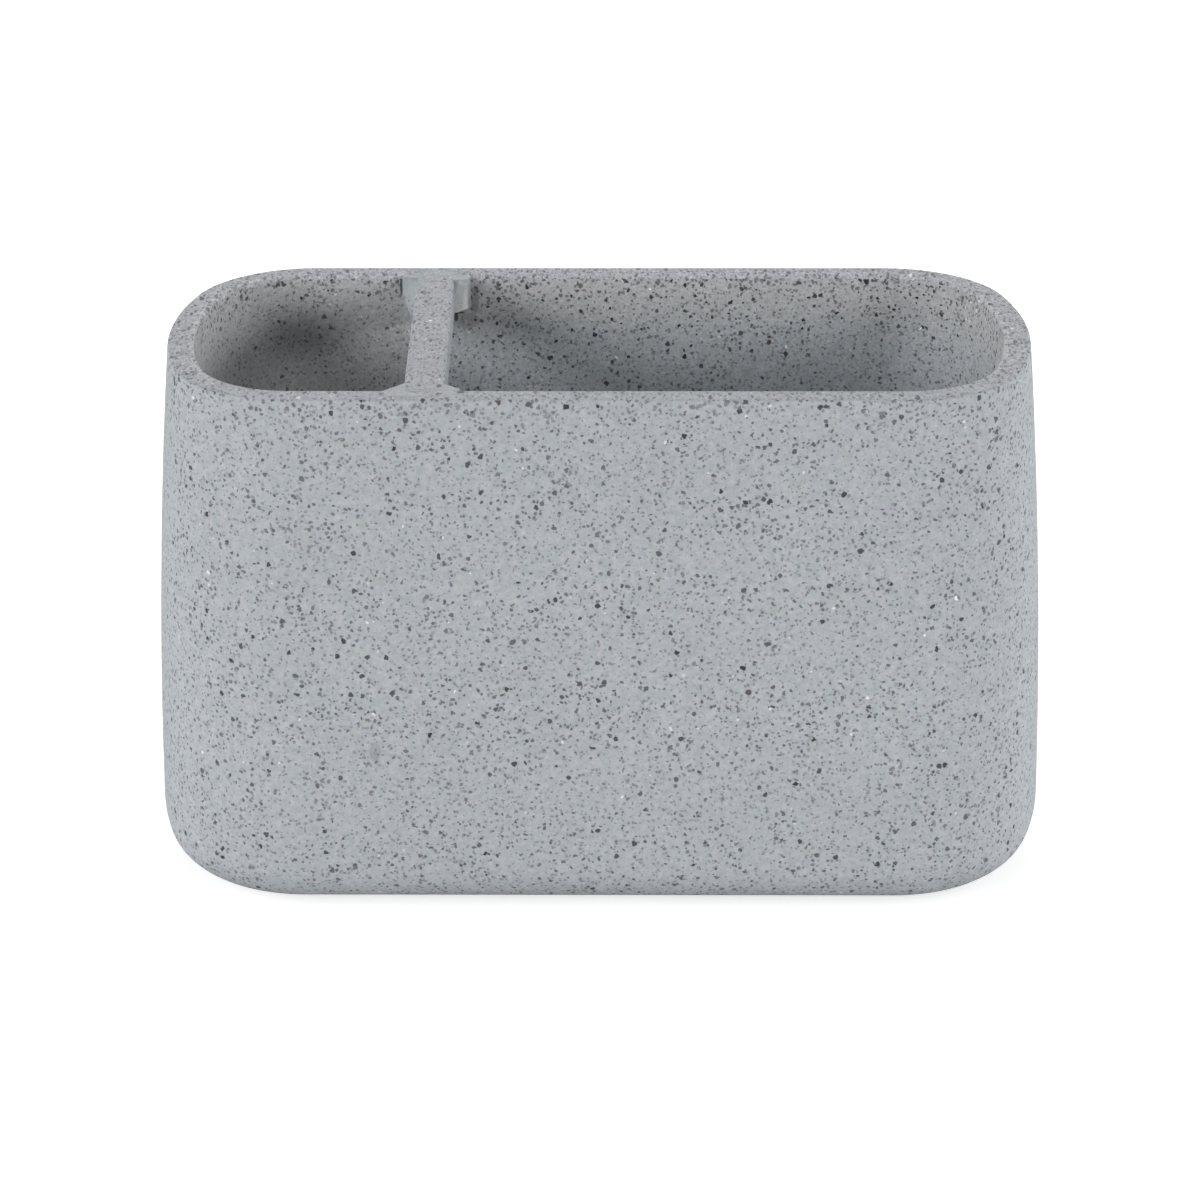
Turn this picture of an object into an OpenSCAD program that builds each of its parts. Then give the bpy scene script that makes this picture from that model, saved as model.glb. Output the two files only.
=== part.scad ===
// Toothbrush holder: an oblong vessel cast in stone-filled resin, with a cross bar bonded over
// its mouth that parts the brushes from the toothpaste, and four grip pads under its base.
// X runs along the vessel from left to right, Y from its front to its back, and Z is up.
// The origin is on the surface that the holder stands on, below the middle of the vessel.

/* [Vessel] */
// Width of the vessel at its rim, left to right
rim_w = 135.5; // [110:0.5:170]
// Depth of the vessel at its rim, front to back
rim_d = 62.5; // [54:0.5:80]
// Height of the casting, without the pads
body_h = 84.5; // [60:0.5:110]
// Radius of the four upright corners at the rim
corner_r = 19.4; // [12:0.1:24]
// Radius of the two slightly bowed ends at the rim
end_r = 60.4; // [44:0.2:90]
// How much further out each side reaches at the base than at the rim
base_flare = 4.2; // [1:0.1:8]
// How far below the base the curve of the sides would be at its widest
swell_drop = 6.7; // [0:0.1:20]
// Radius of the rounding where the sides turn under the base
foot_r = 7; // [3:0.1:10]
// Thickness of the wall at the rim
wall_t = 4.1; // [3:0.1:6]
// Thickness of the floor
floor_t = 6; // [4:0.1:10]
// Radius inside, where the walls meet the floor
floor_r = 6; // [2:0.1:10]
// Slope of the inner walls in degrees, which lets the casting leave its mould
draft = 0.5; // [0.25:0.25:1.5]
// Radius of the softened edges of the sanded rim
edge_r = 0.5; // [0.2:0.1:1]

/* [Cross bar] */
// Width of the bar
bar_w = 6.2; // [4:0.1:10]
// Height of the bar, from the rim down
bar_h = 5.5; // [4:0.1:10]
// Place of the bar left of the middle of the vessel
bar_left = 26.7; // [15:0.1:36]
// Turn of the bar in degrees, as it was set by hand
bar_skew = 0.8; // [0:0.1:3]
// Radius of the softened edges of the bar
bar_edge_r = 0.6; // [0.2:0.1:1]

/* [Bonding resin] */
// Thickness of the resin between an end of the bar and the wall
bed_t = 0.4; // [0.2:0.1:1]
// How far the resin flares out along the wall on each side of the bar
wing_w = 2.6; // [1.5:0.1:4]
// Thickness of the blunt outer ends of the flare
wing_t = 1.2; // [0.6:0.1:2]
// How far the front flare runs up the bar, from the wall
front_flare = 3.7; // [2.5:0.1:6]
// How far the back flare runs up the bar, from the wall
back_flare = 2.5; // [2.2:0.1:6]

/* [Grip pads] */
// Diameter of a pad
pad_d = 10; // [6:0.5:14]
// Thickness of a pad
pad_t = 1; // [0.8:0.1:2]
// Depth of the shallow recess that a pad is stuck into
recess_depth = 0.5; // [0.3:0.1:0.7]
// Clearance round a pad in its recess
recess_gap = 0.15; // [0.05:0.05:0.4]
// Distance from the rim's left and right ends in to the middle of a pad
pad_inset_x = 18; // [16:0.5:30]
// Distance from the rim's front and back in to the middle of a pad
pad_inset_y = 12; // [11:0.5:16]

/* [Hidden] */
// Round faces of the bar and the pads are drawn with this many sides
$fn = 96;
// Flats that the vessel's curves are drawn with: an end, a corner, a side, a large and a small rounding
end_steps = 3;
corner_steps = 10;
side_steps = 6;
round_steps = 6;
edge_steps = 2;
// What a cut or a blank reaches past the face that it has to clear
overrun = 1;
// The most of the inner corner's radius that the rounding above the floor may take
floor_r_share = 0.8;

stand = pad_t - recess_depth;
rim_z = stand + body_h;

// The plan is drawn from three centres: an end arc, a corner arc tangent to it, and a straight
// front and back tangent to that. corner_x and corner_y are the centre of the corner arc.
end_x = rim_w / 2 - end_r;
corner_y = rim_d / 2 - corner_r;
corner_x = end_x + sqrt(pow(end_r - corner_r, 2) - pow(corner_y, 2));
end_angle = atan2(corner_y, corner_x - end_x);

// The section's first coordinate is measured outwards from the rim's outline, and its second up
// from the base. The sides are one large arc, whose centre lies side_back inside that outline.
rim_rise = body_h + swell_drop;
base_reach = ((pow(rim_rise, 2) - pow(swell_drop, 2)) / base_flare + base_flare) / 2;
side_r = sqrt(pow(base_reach, 2) + pow(swell_drop, 2));
side_back = base_reach - base_flare;

// A rounding of radius r inside the side arc, with its centre at height z: where that centre is,
// and the angle at which the rounding meets the arc
function rounding_x(r, z) = sqrt(pow(side_r - r, 2) - pow(z + swell_drop, 2)) - side_back;
function rounding_angle(r, z) = asin((z + swell_drop) / (side_r - r));

foot_centre = [rounding_x(foot_r, foot_r), foot_r];
foot_angle = rounding_angle(foot_r, foot_r);
edge_centre = [rounding_x(edge_r, body_h - edge_r), body_h - edge_r];
edge_angle = rounding_angle(edge_r, body_h - edge_r);

// The inner wall at height z, and the roundings at its lip and above the floor
function inner_wall(z) = -wall_t - (body_h - z) * tan(draft);
lip_low = body_h - edge_r * (1 - sin(draft));
lip_centre = [inner_wall(lip_low) + edge_r * cos(draft), body_h - edge_r];
inner_r = min(floor_r, floor_r_share * (corner_r + inner_wall(floor_t)));
inner_low = floor_t + inner_r * (1 - sin(draft));
inner_centre = [inner_wall(inner_low) - inner_r * cos(draft), floor_t + inner_r];

mouth_y = rim_d / 2 - wall_t;
pad_x = rim_w / 2 - pad_inset_x;
pad_y = rim_d / 2 - pad_inset_y;

// Points along an arc from one angle to another, leaving out skip of them at each end
function arc(centre, r, from, to, steps, skip = 0) =
    [for (i = [skip : steps - skip]) let (a = from + (to - from) * i / steps)
        centre + r * [cos(a), sin(a)]];

// The closed section of the wall, from the edge of the flat base round to the edge of the floor
function wall_section() = concat(
    arc(foot_centre, foot_r, -90, foot_angle, round_steps),
    arc([-side_back, -swell_drop], side_r, foot_angle, edge_angle, side_steps, 1),
    arc(edge_centre, edge_r, edge_angle, 90, edge_steps),
    arc(lip_centre, edge_r, 90, 180 - draft, edge_steps),
    arc(inner_centre, inner_r, -draft, -90, round_steps));

// A quarter of the plan, grown outwards from the rim's outline, from the end round to the back
function quarter_plan(grow) = concat(
    [for (i = [0 : end_steps - 1]) let (a = end_angle * i / end_steps)
        [end_x + (end_r + grow) * cos(a), (end_r + grow) * sin(a)]],
    arc([corner_x, corner_y], corner_r + grow, end_angle, 90, corner_steps));

// The whole plan, counter-clockwise from the middle of the right end
function plan(grow) = let (q = quarter_plan(grow), last = len(q) - 1) concat(
    q,
    [for (i = [last : -1 : 0]) [-q[i].x, q[i].y]],
    [for (i = [1 : last]) [-q[i].x, -q[i].y]],
    [for (i = [last : -1 : 1]) [q[i].x, -q[i].y]]);

// The section carried round the plan, with a flat base below and a flat floor inside
module casting() {
    section = wall_section();
    rings = [for (s = section) [for (p = plan(s.x)) [p.x, p.y, s.y]]];
    count = len(rings[0]);
    last = len(section) - 1;
    walls = [for (k = [0 : last - 1], i = [0 : count - 1])
        let (low = k * count, high = low + count, j = (i + 1) % count)
            each [[low + i, high + i, high + j], [low + i, high + j, low + j]]];
    base = [for (i = [0 : count - 1]) i];
    floor_face = [for (i = [count - 1 : -1 : 0]) last * count + i];
    polyhedron([for (r = rings) each r], concat(walls, [base], [floor_face]));
}

module vessel() {
    color("#adb2b6") difference() {
        translate([0, 0, stand]) casting();
        for (x = [-pad_x, pad_x], y = [-pad_y, pad_y])
            translate([x, y, stand - overrun])
                cylinder(d = pad_d + 2 * recess_gap, h = recess_depth + overrun);
    }
}

// Places its children in the bar's own frame: middle of the bar, at the level of the rim
module at_bar() {
    translate([-bar_left, 0, rim_z]) rotate([0, 0, bar_skew]) children();
}

// The space between the two resin beds, which squares the ends of the bar
module between_beds() {
    reach = bar_left + bar_w + wing_w;
    translate([-2 * reach, -mouth_y + bed_t, rim_z - bar_h - overrun])
        cube([4 * reach, 2 * (mouth_y - bed_t), bar_h + 2 * overrun]);
}

// A quarter of a disc, for one rounded corner of the bar's section
module quarter(r) {
    intersection() {
        circle(r = r);
        square(r + overrun);
    }
}

module bar_section() {
    flat_w = bar_w - 2 * bar_edge_r;
    flat_h = bar_h - 2 * bar_edge_r;
    square([bar_w, flat_h], center = true);
    square([flat_w, bar_h], center = true);
    for (across = [0, 1], up = [0, 1]) mirror([across, 0]) mirror([0, up])
        translate([flat_w / 2, flat_h / 2]) quarter(bar_edge_r);
}

module cross_bar() {
    color("#a6a8ab") intersection() {
        at_bar() translate([0, 0, -bar_h / 2]) rotate([90, 0, 0])
            linear_extrude(height = 2 * mouth_y, center = true) bar_section();
        between_beds();
    }
}

// Resin bed behind one end of the bar, flared out beside it along the wall
module bond(flare) {
    half_w = bar_w / 2 + wing_w;
    difference() {
        intersection() {
            at_bar() translate([0, 0, -bar_h]) linear_extrude(height = bar_h)
                polygon([[-half_w, mouth_y + overrun], [-half_w, mouth_y - wing_t],
                    [-bar_w / 2, mouth_y - flare], [bar_w / 2, mouth_y - flare],
                    [half_w, mouth_y - wing_t], [half_w, mouth_y + overrun]]);
            translate([-bar_left, 0, stand]) rotate([90, 0, 90])
                linear_extrude(height = 2 * (half_w + mouth_y), center = true)
                    polygon([[0, body_h - bar_h],
                        [rim_d / 2 + inner_wall(body_h - bar_h), body_h - bar_h],
                        [rim_d / 2 + inner_wall(body_h), body_h], [0, body_h]]);
        }
        intersection() {
            at_bar() translate([-bar_w / 2, -mouth_y, -bar_h - overrun])
                cube([bar_w, 2 * mouth_y, bar_h + 2 * overrun]);
            between_beds();
        }
    }
}

module bond_back() {
    color("#a3aaad") bond(back_flare);
}

// The front bond is drawn at the back and turned round the bar's middle
module bond_front() {
    color("#a3aaad") translate([-bar_left, 0, 0]) rotate([0, 0, 180])
        translate([bar_left, 0, 0]) bond(front_flare);
}

module pad(x, y) {
    color("#3b3d40") translate([x, y, 0]) cylinder(d = pad_d, h = pad_t);
}

module pad_front_left() { pad(-pad_x, -pad_y); }
module pad_front_right() { pad(pad_x, -pad_y); }
module pad_back_left() { pad(-pad_x, pad_y); }
module pad_back_right() { pad(pad_x, pad_y); }

vessel();
cross_bar();
bond_front();
bond_back();
pad_front_left();
pad_front_right();
pad_back_left();
pad_back_right();
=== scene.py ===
# Toothbrush holder: an oblong vessel cast in stone-filled resin, with a cross bar bonded into
# its mouth. Laid out as an add-on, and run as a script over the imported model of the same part.
# X runs from left to right, Y from front to back, Z is up, in metres, as in the model.

import math

import bmesh
import bpy
from bpy.props import FloatProperty, FloatVectorProperty, IntProperty, PointerProperty
from mathutils import Matrix, Vector, noise


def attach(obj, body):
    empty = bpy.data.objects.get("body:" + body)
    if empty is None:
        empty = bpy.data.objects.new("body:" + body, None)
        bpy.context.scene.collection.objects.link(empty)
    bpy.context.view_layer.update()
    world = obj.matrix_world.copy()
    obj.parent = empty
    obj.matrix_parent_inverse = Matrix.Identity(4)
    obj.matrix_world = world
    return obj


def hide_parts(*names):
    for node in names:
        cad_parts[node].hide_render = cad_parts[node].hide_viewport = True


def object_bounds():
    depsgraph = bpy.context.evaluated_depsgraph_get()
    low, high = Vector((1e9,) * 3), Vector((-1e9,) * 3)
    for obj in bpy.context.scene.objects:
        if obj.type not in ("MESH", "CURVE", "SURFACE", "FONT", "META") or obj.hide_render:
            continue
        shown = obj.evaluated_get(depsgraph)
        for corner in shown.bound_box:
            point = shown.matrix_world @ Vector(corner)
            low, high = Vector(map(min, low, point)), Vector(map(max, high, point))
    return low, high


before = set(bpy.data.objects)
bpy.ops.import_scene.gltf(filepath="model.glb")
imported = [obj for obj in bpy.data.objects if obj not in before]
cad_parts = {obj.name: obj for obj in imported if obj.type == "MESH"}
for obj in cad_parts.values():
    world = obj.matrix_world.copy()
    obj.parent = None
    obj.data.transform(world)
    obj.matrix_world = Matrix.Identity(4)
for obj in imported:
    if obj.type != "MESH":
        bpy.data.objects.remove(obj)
CAD_LOW, CAD_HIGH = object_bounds()

bl_info = {
    "name": "Cast Stone Toothbrush Holder",
    "version": (1, 0, 0),
    "blender": (4, 5, 0),
    "location": "3D View > Sidebar > Holder",
    "description": "Builds a speckled cast stone toothbrush holder and the studio round it",
    "category": "Add Mesh",
}

MM = 0.001
DEGREE = math.pi / 180
BODY = "root"


def millimetres(name, description, value):
    """A length property, given in millimetres and held in metres"""
    return FloatProperty(name=name, description=description, default=value * MM,
                         unit="LENGTH", subtype="DISTANCE", precision=5)


def linear(code):
    """A six-digit sRGB hex code as a linear colour with alpha"""
    parts = [int(code[i:i + 2], 16) / 255 for i in (1, 3, 5)]
    return (*[p / 12.92 if p <= 0.04045 else ((p + 0.055) / 1.055) ** 2.4 for p in parts], 1.0)


def colour(name, description, code):
    """A colour property, given as sRGB hex"""
    return FloatVectorProperty(name=name, description=description, default=linear(code),
                               subtype="COLOR", size=4, min=0, max=1)


class HolderSizes(bpy.types.PropertyGroup):
    """Sizes of the holder, as in the model"""
    rim_width: millimetres("Rim Width", "Width of the vessel at its rim", 135.5)
    rim_depth: millimetres("Rim Depth", "Depth of the vessel at its rim, front to back", 62.5)
    casting_height: millimetres("Casting Height", "Height of the casting, without the pads", 84.5)
    corner_radius: millimetres("Corner Radius", "Radius of the upright corners at the rim", 19.4)
    end_radius: millimetres("End Radius", "Radius of the two bowed ends at the rim", 60.4)
    base_flare: millimetres("Base Flare", "How much further each side reaches at the base", 4.2)
    swell_drop: millimetres("Swell Drop", "How far below the base the sides are widest", 6.7)
    foot_radius: millimetres("Foot Radius", "Rounding where the sides turn under the base", 7)
    wall_thickness: millimetres("Wall Thickness", "Thickness of the wall at the rim", 4.1)
    floor_thickness: millimetres("Floor Thickness", "Thickness of the floor", 6)
    floor_radius: millimetres("Floor Radius", "Rounding between the inner wall and the floor", 6)
    draft: FloatProperty(name="Draft", description="Slope of the inner walls",
                         default=0.5 * DEGREE, subtype="ANGLE")
    edge_radius: millimetres("Edge Radius", "Softened edges of the sanded rim", 0.5)
    bar_width: millimetres("Bar Width", "Width of the cross bar", 6.2)
    bar_height: millimetres("Bar Height", "Height of the cross bar, from the rim down", 5.5)
    bar_left: millimetres("Bar Offset", "Distance of the bar left of the middle", 26.7)
    bar_skew: FloatProperty(name="Bar Skew", description="Turn of the bar, as it was set by hand",
                            default=0.8 * DEGREE, subtype="ANGLE")
    bar_lean: FloatProperty(name="Bar Lean", description="Slope of the bar's sides",
                            default=1.0 * DEGREE, subtype="ANGLE")
    bar_edge: millimetres("Bar Edge Radius", "Softened edges of the cross bar", 0.6)
    bed: millimetres("Resin Bed", "Resin between an end of the bar and the wall", 0.4)
    pad_diameter: millimetres("Pad Diameter", "Diameter of a grip pad", 10)
    pad_thickness: millimetres("Pad Thickness", "Thickness of a grip pad", 1)
    recess_depth: millimetres("Recess Depth", "Depth of the recess that holds a pad", 0.5)
    recess_gap: millimetres("Recess Clearance", "Clearance round a pad in its recess", 0.15)
    pad_inset_x: millimetres("Pad Inset X", "From the rim's left or right end in to a pad", 18)
    pad_inset_y: millimetres("Pad Inset Y", "From the rim's front or back in to a pad", 12)
    unevenness: millimetres("Unevenness", "How far the cast walls wander from true", 0.12)
    chip_depth: millimetres("Chip Depth", "Depth of the nicks along the sanded edges", 0.16)
    seed: IntProperty(name="Seed", description="Places the nicks and the unevenness", default=7)


class HolderColours(bpy.types.PropertyGroup):
    """Colours of the holder's finishes"""
    stone: colour("Stone", "Resin that holds the stone grains", "#AFB4B8")
    charcoal: colour("Charcoal Grain", "Darkest crushed grains", "#2A2C31")
    slate: colour("Slate Grain", "Common crushed grains", "#43464C")
    umber: colour("Umber Grain", "Rare brown grains", "#544C4A")
    ivory: colour("Ivory Grain", "Rare pale grains", "#F4F4F1")
    dust: colour("Sanding Dust", "Bloom on the sanded rim and bar", "#ADAEB3")
    film: colour("Film", "Dust and film on the inside of the walls", "#B2B2B3")
    resin: colour("Bonding Resin", "Smooth resin round the ends of the bar", "#A5ABAF")
    foam: colour("Foam", "Closed-cell foam of the pads", "#3B3D40")
    floor: colour("Floor", "Studio floor and backdrop", "#DADADA")


def add(tree, kind, settings=None, inputs=None):
    """Adds a node. Its inputs are values, or the nodes or sockets that feed them"""
    made = tree.nodes.new(kind)
    for name, value in (settings or {}).items():
        setattr(made, name, value)
    for key, value in (inputs or {}).items():
        if isinstance(key, int):
            socket = made.inputs[key]
        else:
            socket = next(s for s in made.inputs if s.enabled and s.name == key)
        if isinstance(value, bpy.types.Node):
            value = next(s for s in value.outputs if s.enabled)
        if isinstance(value, bpy.types.NodeSocket):
            tree.links.new(value, socket)
        else:
            socket.default_value = value
    return made


def new_tree(name, sizes, whole=()):
    """A Geometry Nodes tree with a named input for each size. Returns it and its inputs by name"""
    tree = bpy.data.node_groups.new(name, "GeometryNodeTree")
    for label in sizes:
        tree.interface.new_socket(name=label, in_out="INPUT", socket_type="NodeSocketFloat")
    for label in whole:
        tree.interface.new_socket(name=label, in_out="INPUT", socket_type="NodeSocketInt")
    tree.interface.new_socket(name="Material", in_out="INPUT", socket_type="NodeSocketMaterial")
    tree.interface.new_socket(name="Geometry", in_out="OUTPUT",
                              socket_type="NodeSocketGeometry")
    entry = add(tree, "NodeGroupInput")
    return tree, {s.name: s for s in entry.outputs if s.name}


def grown(name, tree, values):
    """Runs a tree with these input values, and returns its result as a plain mesh object"""
    piece = bpy.data.objects.new(name, bpy.data.meshes.new(name))
    bpy.context.scene.collection.objects.link(piece)
    modifier = piece.modifiers.new("Shape", "NODES")
    modifier.node_group = tree
    for item in tree.interface.items_tree:
        if item.item_type == "SOCKET" and item.in_out == "INPUT":
            modifier[item.identifier] = values[item.name]
    bpy.context.view_layer.update()
    graph = bpy.context.evaluated_depsgraph_get()
    mesh = bpy.data.meshes.new_from_object(piece.evaluated_get(graph))
    if not mesh.polygons:
        raise RuntimeError(f"{name} came out empty")
    piece.modifiers.remove(modifier)
    piece.data = mesh
    mesh.name = name
    # The tree's own faces leave an empty first slot, so the mesh is given its one material again
    mesh.materials.clear()
    mesh.materials.append(values["Material"])
    mesh.polygons.foreach_set("material_index", [0] * len(mesh.polygons))
    return piece


# The points of each part of a joined line are numbered from the next multiple of this
PART_STEP = 1000.0


def joined_line(tree, parts, tag):
    """One line through the points of several curves, taken in order"""
    join = add(tree, "GeometryNodeJoinGeometry")
    index = add(tree, "GeometryNodeInputIndex")
    for place, part in enumerate(parts):
        order = add(tree, "ShaderNodeMath", {"operation": "ADD"}, {0: index, 1: PART_STEP * place})
        stored = add(tree, "GeometryNodeStoreNamedAttribute",
                     {"data_type": "FLOAT", "domain": "POINT"},
                     {"Geometry": part, "Name": tag, "Value": order})
        tree.links.new(stored.outputs[0], join.inputs[0])
    points = add(tree, "GeometryNodeCurveToPoints", {"mode": "EVALUATED"}, {"Curve": join})
    weight = add(tree, "GeometryNodeInputNamedAttribute", {"data_type": "FLOAT"}, {"Name": tag})
    return add(tree, "GeometryNodePointsToCurves", None, {"Points": points, "Weight": weight})


def closed_rings(tree, mesh, low, high, level):
    """Fills the open rings of a mesh that lie between two heights. The faces are drawn at no
    height, so they are lifted to theirs"""
    neighbours = add(tree, "GeometryNodeInputMeshEdgeNeighbors")
    is_open = add(tree, "FunctionNodeCompare", {"data_type": "INT", "operation": "EQUAL"},
                  {"A": neighbours, "B": 1})
    place = add(tree, "GeometryNodeInputPosition")
    split = add(tree, "ShaderNodeSeparateXYZ", None, {"Vector": place})
    above = add(tree, "FunctionNodeCompare", {"data_type": "FLOAT", "operation": "GREATER_THAN"},
                {"A": split.outputs["Z"], "B": low})
    below = add(tree, "FunctionNodeCompare", {"data_type": "FLOAT", "operation": "LESS_THAN"},
                {"A": split.outputs["Z"], "B": high})
    between = add(tree, "FunctionNodeBooleanMath", {"operation": "AND"}, {0: above, 1: below})
    chosen = add(tree, "FunctionNodeBooleanMath", {"operation": "AND"}, {0: is_open, 1: between})
    rings = add(tree, "GeometryNodeMeshToCurve", None, {"Mesh": mesh, "Selection": chosen})
    faces = add(tree, "GeometryNodeFillCurve", {"mode": "TRIANGLES"}, {"Curve": rings})
    lift = add(tree, "ShaderNodeCombineXYZ", None, {"Z": level})
    return add(tree, "GeometryNodeTransform", None, {"Geometry": faces, "Translation": lift})


# The sizes that the vessel's curves need beyond its own: each is worked out from the ones
# before it, as its name, the operation and its terms
VESSEL_SUMS = (
    # Plan: the centres of its end and corner arcs, and the angle where they meet
    ("half_width", "MULTIPLY", "Rim Width", 0.5),
    ("end_x", "SUBTRACT", "half_width", "End Radius"),
    ("half_depth", "MULTIPLY", "Rim Depth", 0.5),
    ("corner_y", "SUBTRACT", "half_depth", "Corner Radius"),
    ("arc_gap", "SUBTRACT", "End Radius", "Corner Radius"),
    ("arc_gap_2", "POWER", "arc_gap", 2.0),
    ("corner_y_2", "POWER", "corner_y", 2.0),
    ("corner_run_2", "SUBTRACT", "arc_gap_2", "corner_y_2"),
    ("corner_run", "SQRT", "corner_run_2"),
    ("corner_x", "ADD", "end_x", "corner_run"),
    ("end_angle", "ARCTAN2", "corner_y", "corner_run"),
    ("end_sweep", "MULTIPLY", "end_angle", 2.0),
    ("corner_sweep", "SUBTRACT", math.pi / 2, "end_angle"),
    ("right_start", "MULTIPLY", "end_angle", -1.0),
    ("left_start", "SUBTRACT", math.pi, "end_angle"),
    ("left_end", "ADD", math.pi, "end_angle"),
    ("end_x_left", "MULTIPLY", "end_x", -1.0),
    ("corner_x_left", "MULTIPLY", "corner_x", -1.0),
    ("corner_y_front", "MULTIPLY", "corner_y", -1.0),
    # Sides: one large arc, widest a little below the base
    ("rise", "ADD", "Casting Height", "Swell Drop"),
    ("rise_2", "POWER", "rise", 2.0),
    ("drop_2", "POWER", "Swell Drop", 2.0),
    ("rise_gain", "SUBTRACT", "rise_2", "drop_2"),
    ("rise_share", "DIVIDE", "rise_gain", "Base Flare"),
    ("reach_twice", "ADD", "rise_share", "Base Flare"),
    ("base_reach", "MULTIPLY", "reach_twice", 0.5),
    ("base_reach_2", "POWER", "base_reach", 2.0),
    ("side_radius_2", "ADD", "base_reach_2", "drop_2"),
    ("side_radius", "SQRT", "side_radius_2"),
    ("side_back", "SUBTRACT", "base_reach", "Base Flare"),
    ("side_x", "MULTIPLY", "side_back", -1.0),
    ("side_z", "MULTIPLY", "Swell Drop", -1.0),
    # Foot: rounding inside the side arc
    ("foot_in", "SUBTRACT", "side_radius", "Foot Radius"),
    ("foot_up", "ADD", "Foot Radius", "Swell Drop"),
    ("foot_ratio", "DIVIDE", "foot_up", "foot_in"),
    ("foot_angle", "ARCSINE", "foot_ratio"),
    ("foot_cosine", "COSINE", "foot_angle"),
    ("foot_run", "MULTIPLY", "foot_in", "foot_cosine"),
    ("foot_x", "SUBTRACT", "foot_run", "side_back"),
    ("foot_sweep", "ADD", "foot_angle", math.pi / 2),
    # Outer edge of the rim: rounding inside the side arc
    ("edge_z", "SUBTRACT", "Casting Height", "Edge Radius"),
    ("edge_in", "SUBTRACT", "side_radius", "Edge Radius"),
    ("edge_up", "ADD", "edge_z", "Swell Drop"),
    ("edge_ratio", "DIVIDE", "edge_up", "edge_in"),
    ("edge_angle", "ARCSINE", "edge_ratio"),
    ("edge_cosine", "COSINE", "edge_angle"),
    ("edge_run", "MULTIPLY", "edge_in", "edge_cosine"),
    ("edge_x", "SUBTRACT", "edge_run", "side_back"),
    ("edge_sweep", "SUBTRACT", math.pi / 2, "edge_angle"),
    ("side_sweep", "SUBTRACT", "edge_angle", "foot_angle"),
    # Inner wall: its lip, and the rounding above the floor
    ("draft_sine", "SINE", "Draft"),
    ("draft_cosine", "COSINE", "Draft"),
    ("draft_slope", "TANGENT", "Draft"),
    ("draft_rest", "SUBTRACT", 1.0, "draft_sine"),
    ("lip_drop", "MULTIPLY", "Edge Radius", "draft_rest"),
    ("lip_lean", "MULTIPLY", "lip_drop", "draft_slope"),
    ("lip_in", "ADD", "Wall Thickness", "lip_lean"),
    ("wall_top_x", "MULTIPLY", "lip_in", -1.0),
    ("wall_top_z", "SUBTRACT", "Casting Height", "lip_drop"),
    ("lip_reach", "MULTIPLY", "Edge Radius", "draft_cosine"),
    ("lip_x", "ADD", "wall_top_x", "lip_reach"),
    ("lip_sweep", "SUBTRACT", math.pi / 2, "Draft"),
    ("cove_rise", "MULTIPLY", "Floor Radius", "draft_rest"),
    ("wall_foot_z", "ADD", "Floor Thickness", "cove_rise"),
    ("wall_height", "SUBTRACT", "Casting Height", "wall_foot_z"),
    ("wall_lean", "MULTIPLY", "wall_height", "draft_slope"),
    ("wall_in", "ADD", "Wall Thickness", "wall_lean"),
    ("wall_foot_x", "MULTIPLY", "wall_in", -1.0),
    ("cove_reach", "MULTIPLY", "Floor Radius", "draft_cosine"),
    ("cove_x", "SUBTRACT", "wall_foot_x", "cove_reach"),
    ("cove_z", "ADD", "Floor Thickness", "Floor Radius"),
    ("cove_start", "MULTIPLY", "Draft", -1.0),
    ("cove_sweep", "MULTIPLY", "lip_sweep", -1.0),
    # Pads and their recesses
    ("pad_x", "SUBTRACT", "half_width", "Pad Inset X"),
    ("pad_y", "SUBTRACT", "half_depth", "Pad Inset Y"),
    ("pad_span_x", "MULTIPLY", "pad_x", 2.0),
    ("pad_span_y", "MULTIPLY", "pad_y", 2.0),
    ("recess_middle", "MULTIPLY", "Recess Depth", 0.5),
    ("just_below_floor", "MULTIPLY", "Floor Thickness", 0.9),
    ("just_above_floor", "MULTIPLY", "Floor Thickness", 1.1),
)

# Arcs round the plan: centre, radius, first angle and sweep, with how many points each has
PLAN_ARCS = (
    ("end_x", 0.0, "End Radius", "right_start", "end_sweep", 48),
    ("corner_x", "corner_y", "Corner Radius", "end_angle", "corner_sweep", 72),
    ("corner_x_left", "corner_y", "Corner Radius", math.pi / 2, "corner_sweep", 72),
    ("end_x_left", 0.0, "End Radius", "left_start", "end_sweep", 48),
    ("corner_x_left", "corner_y_front", "Corner Radius", "left_end", "corner_sweep", 72),
    ("corner_x", "corner_y_front", "Corner Radius", -math.pi / 2, "corner_sweep", 72),
)

# Parts of the wall's section, from the edge of the base round to the edge of the floor. An arc
# has its centre, radius, first angle, sweep and points, and a line its two ends and points
SECTION_PARTS = (
    ("foot_x", "Foot Radius", "Foot Radius", -math.pi / 2, "foot_sweep", 12),
    ("side_x", "side_z", "side_radius", "foot_angle", "side_sweep", 50),
    ("edge_x", "edge_z", "Edge Radius", "edge_angle", "edge_sweep", 7),
    ("edge_x", "Casting Height", "lip_x", "Casting Height", 8),
    ("lip_x", "edge_z", "Edge Radius", math.pi / 2, "lip_sweep", 7),
    ("wall_top_x", "wall_top_z", "wall_foot_x", "wall_foot_z", 44),
    ("cove_x", "cove_z", "Floor Radius", "cove_start", "cove_sweep", 12),
)

# The inner wall and the cove are the sixth part of the section and the one after it, and the
# rim's inner edge is the fifth. The face between two parts belongs to the later one, so each
# start lies a little above the last number of the part before
INNER_WALL = 5 * PART_STEP
INSIDE_FROM = INNER_WALL - 0.9 * PART_STEP
INWARD_FROM = INNER_WALL - 1.9 * PART_STEP

# Points nearer than this are one. Those round the vessel's plan lie this far apart
WELD = 0.004 * MM
POINT_SPACING = 0.55 * MM

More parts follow.
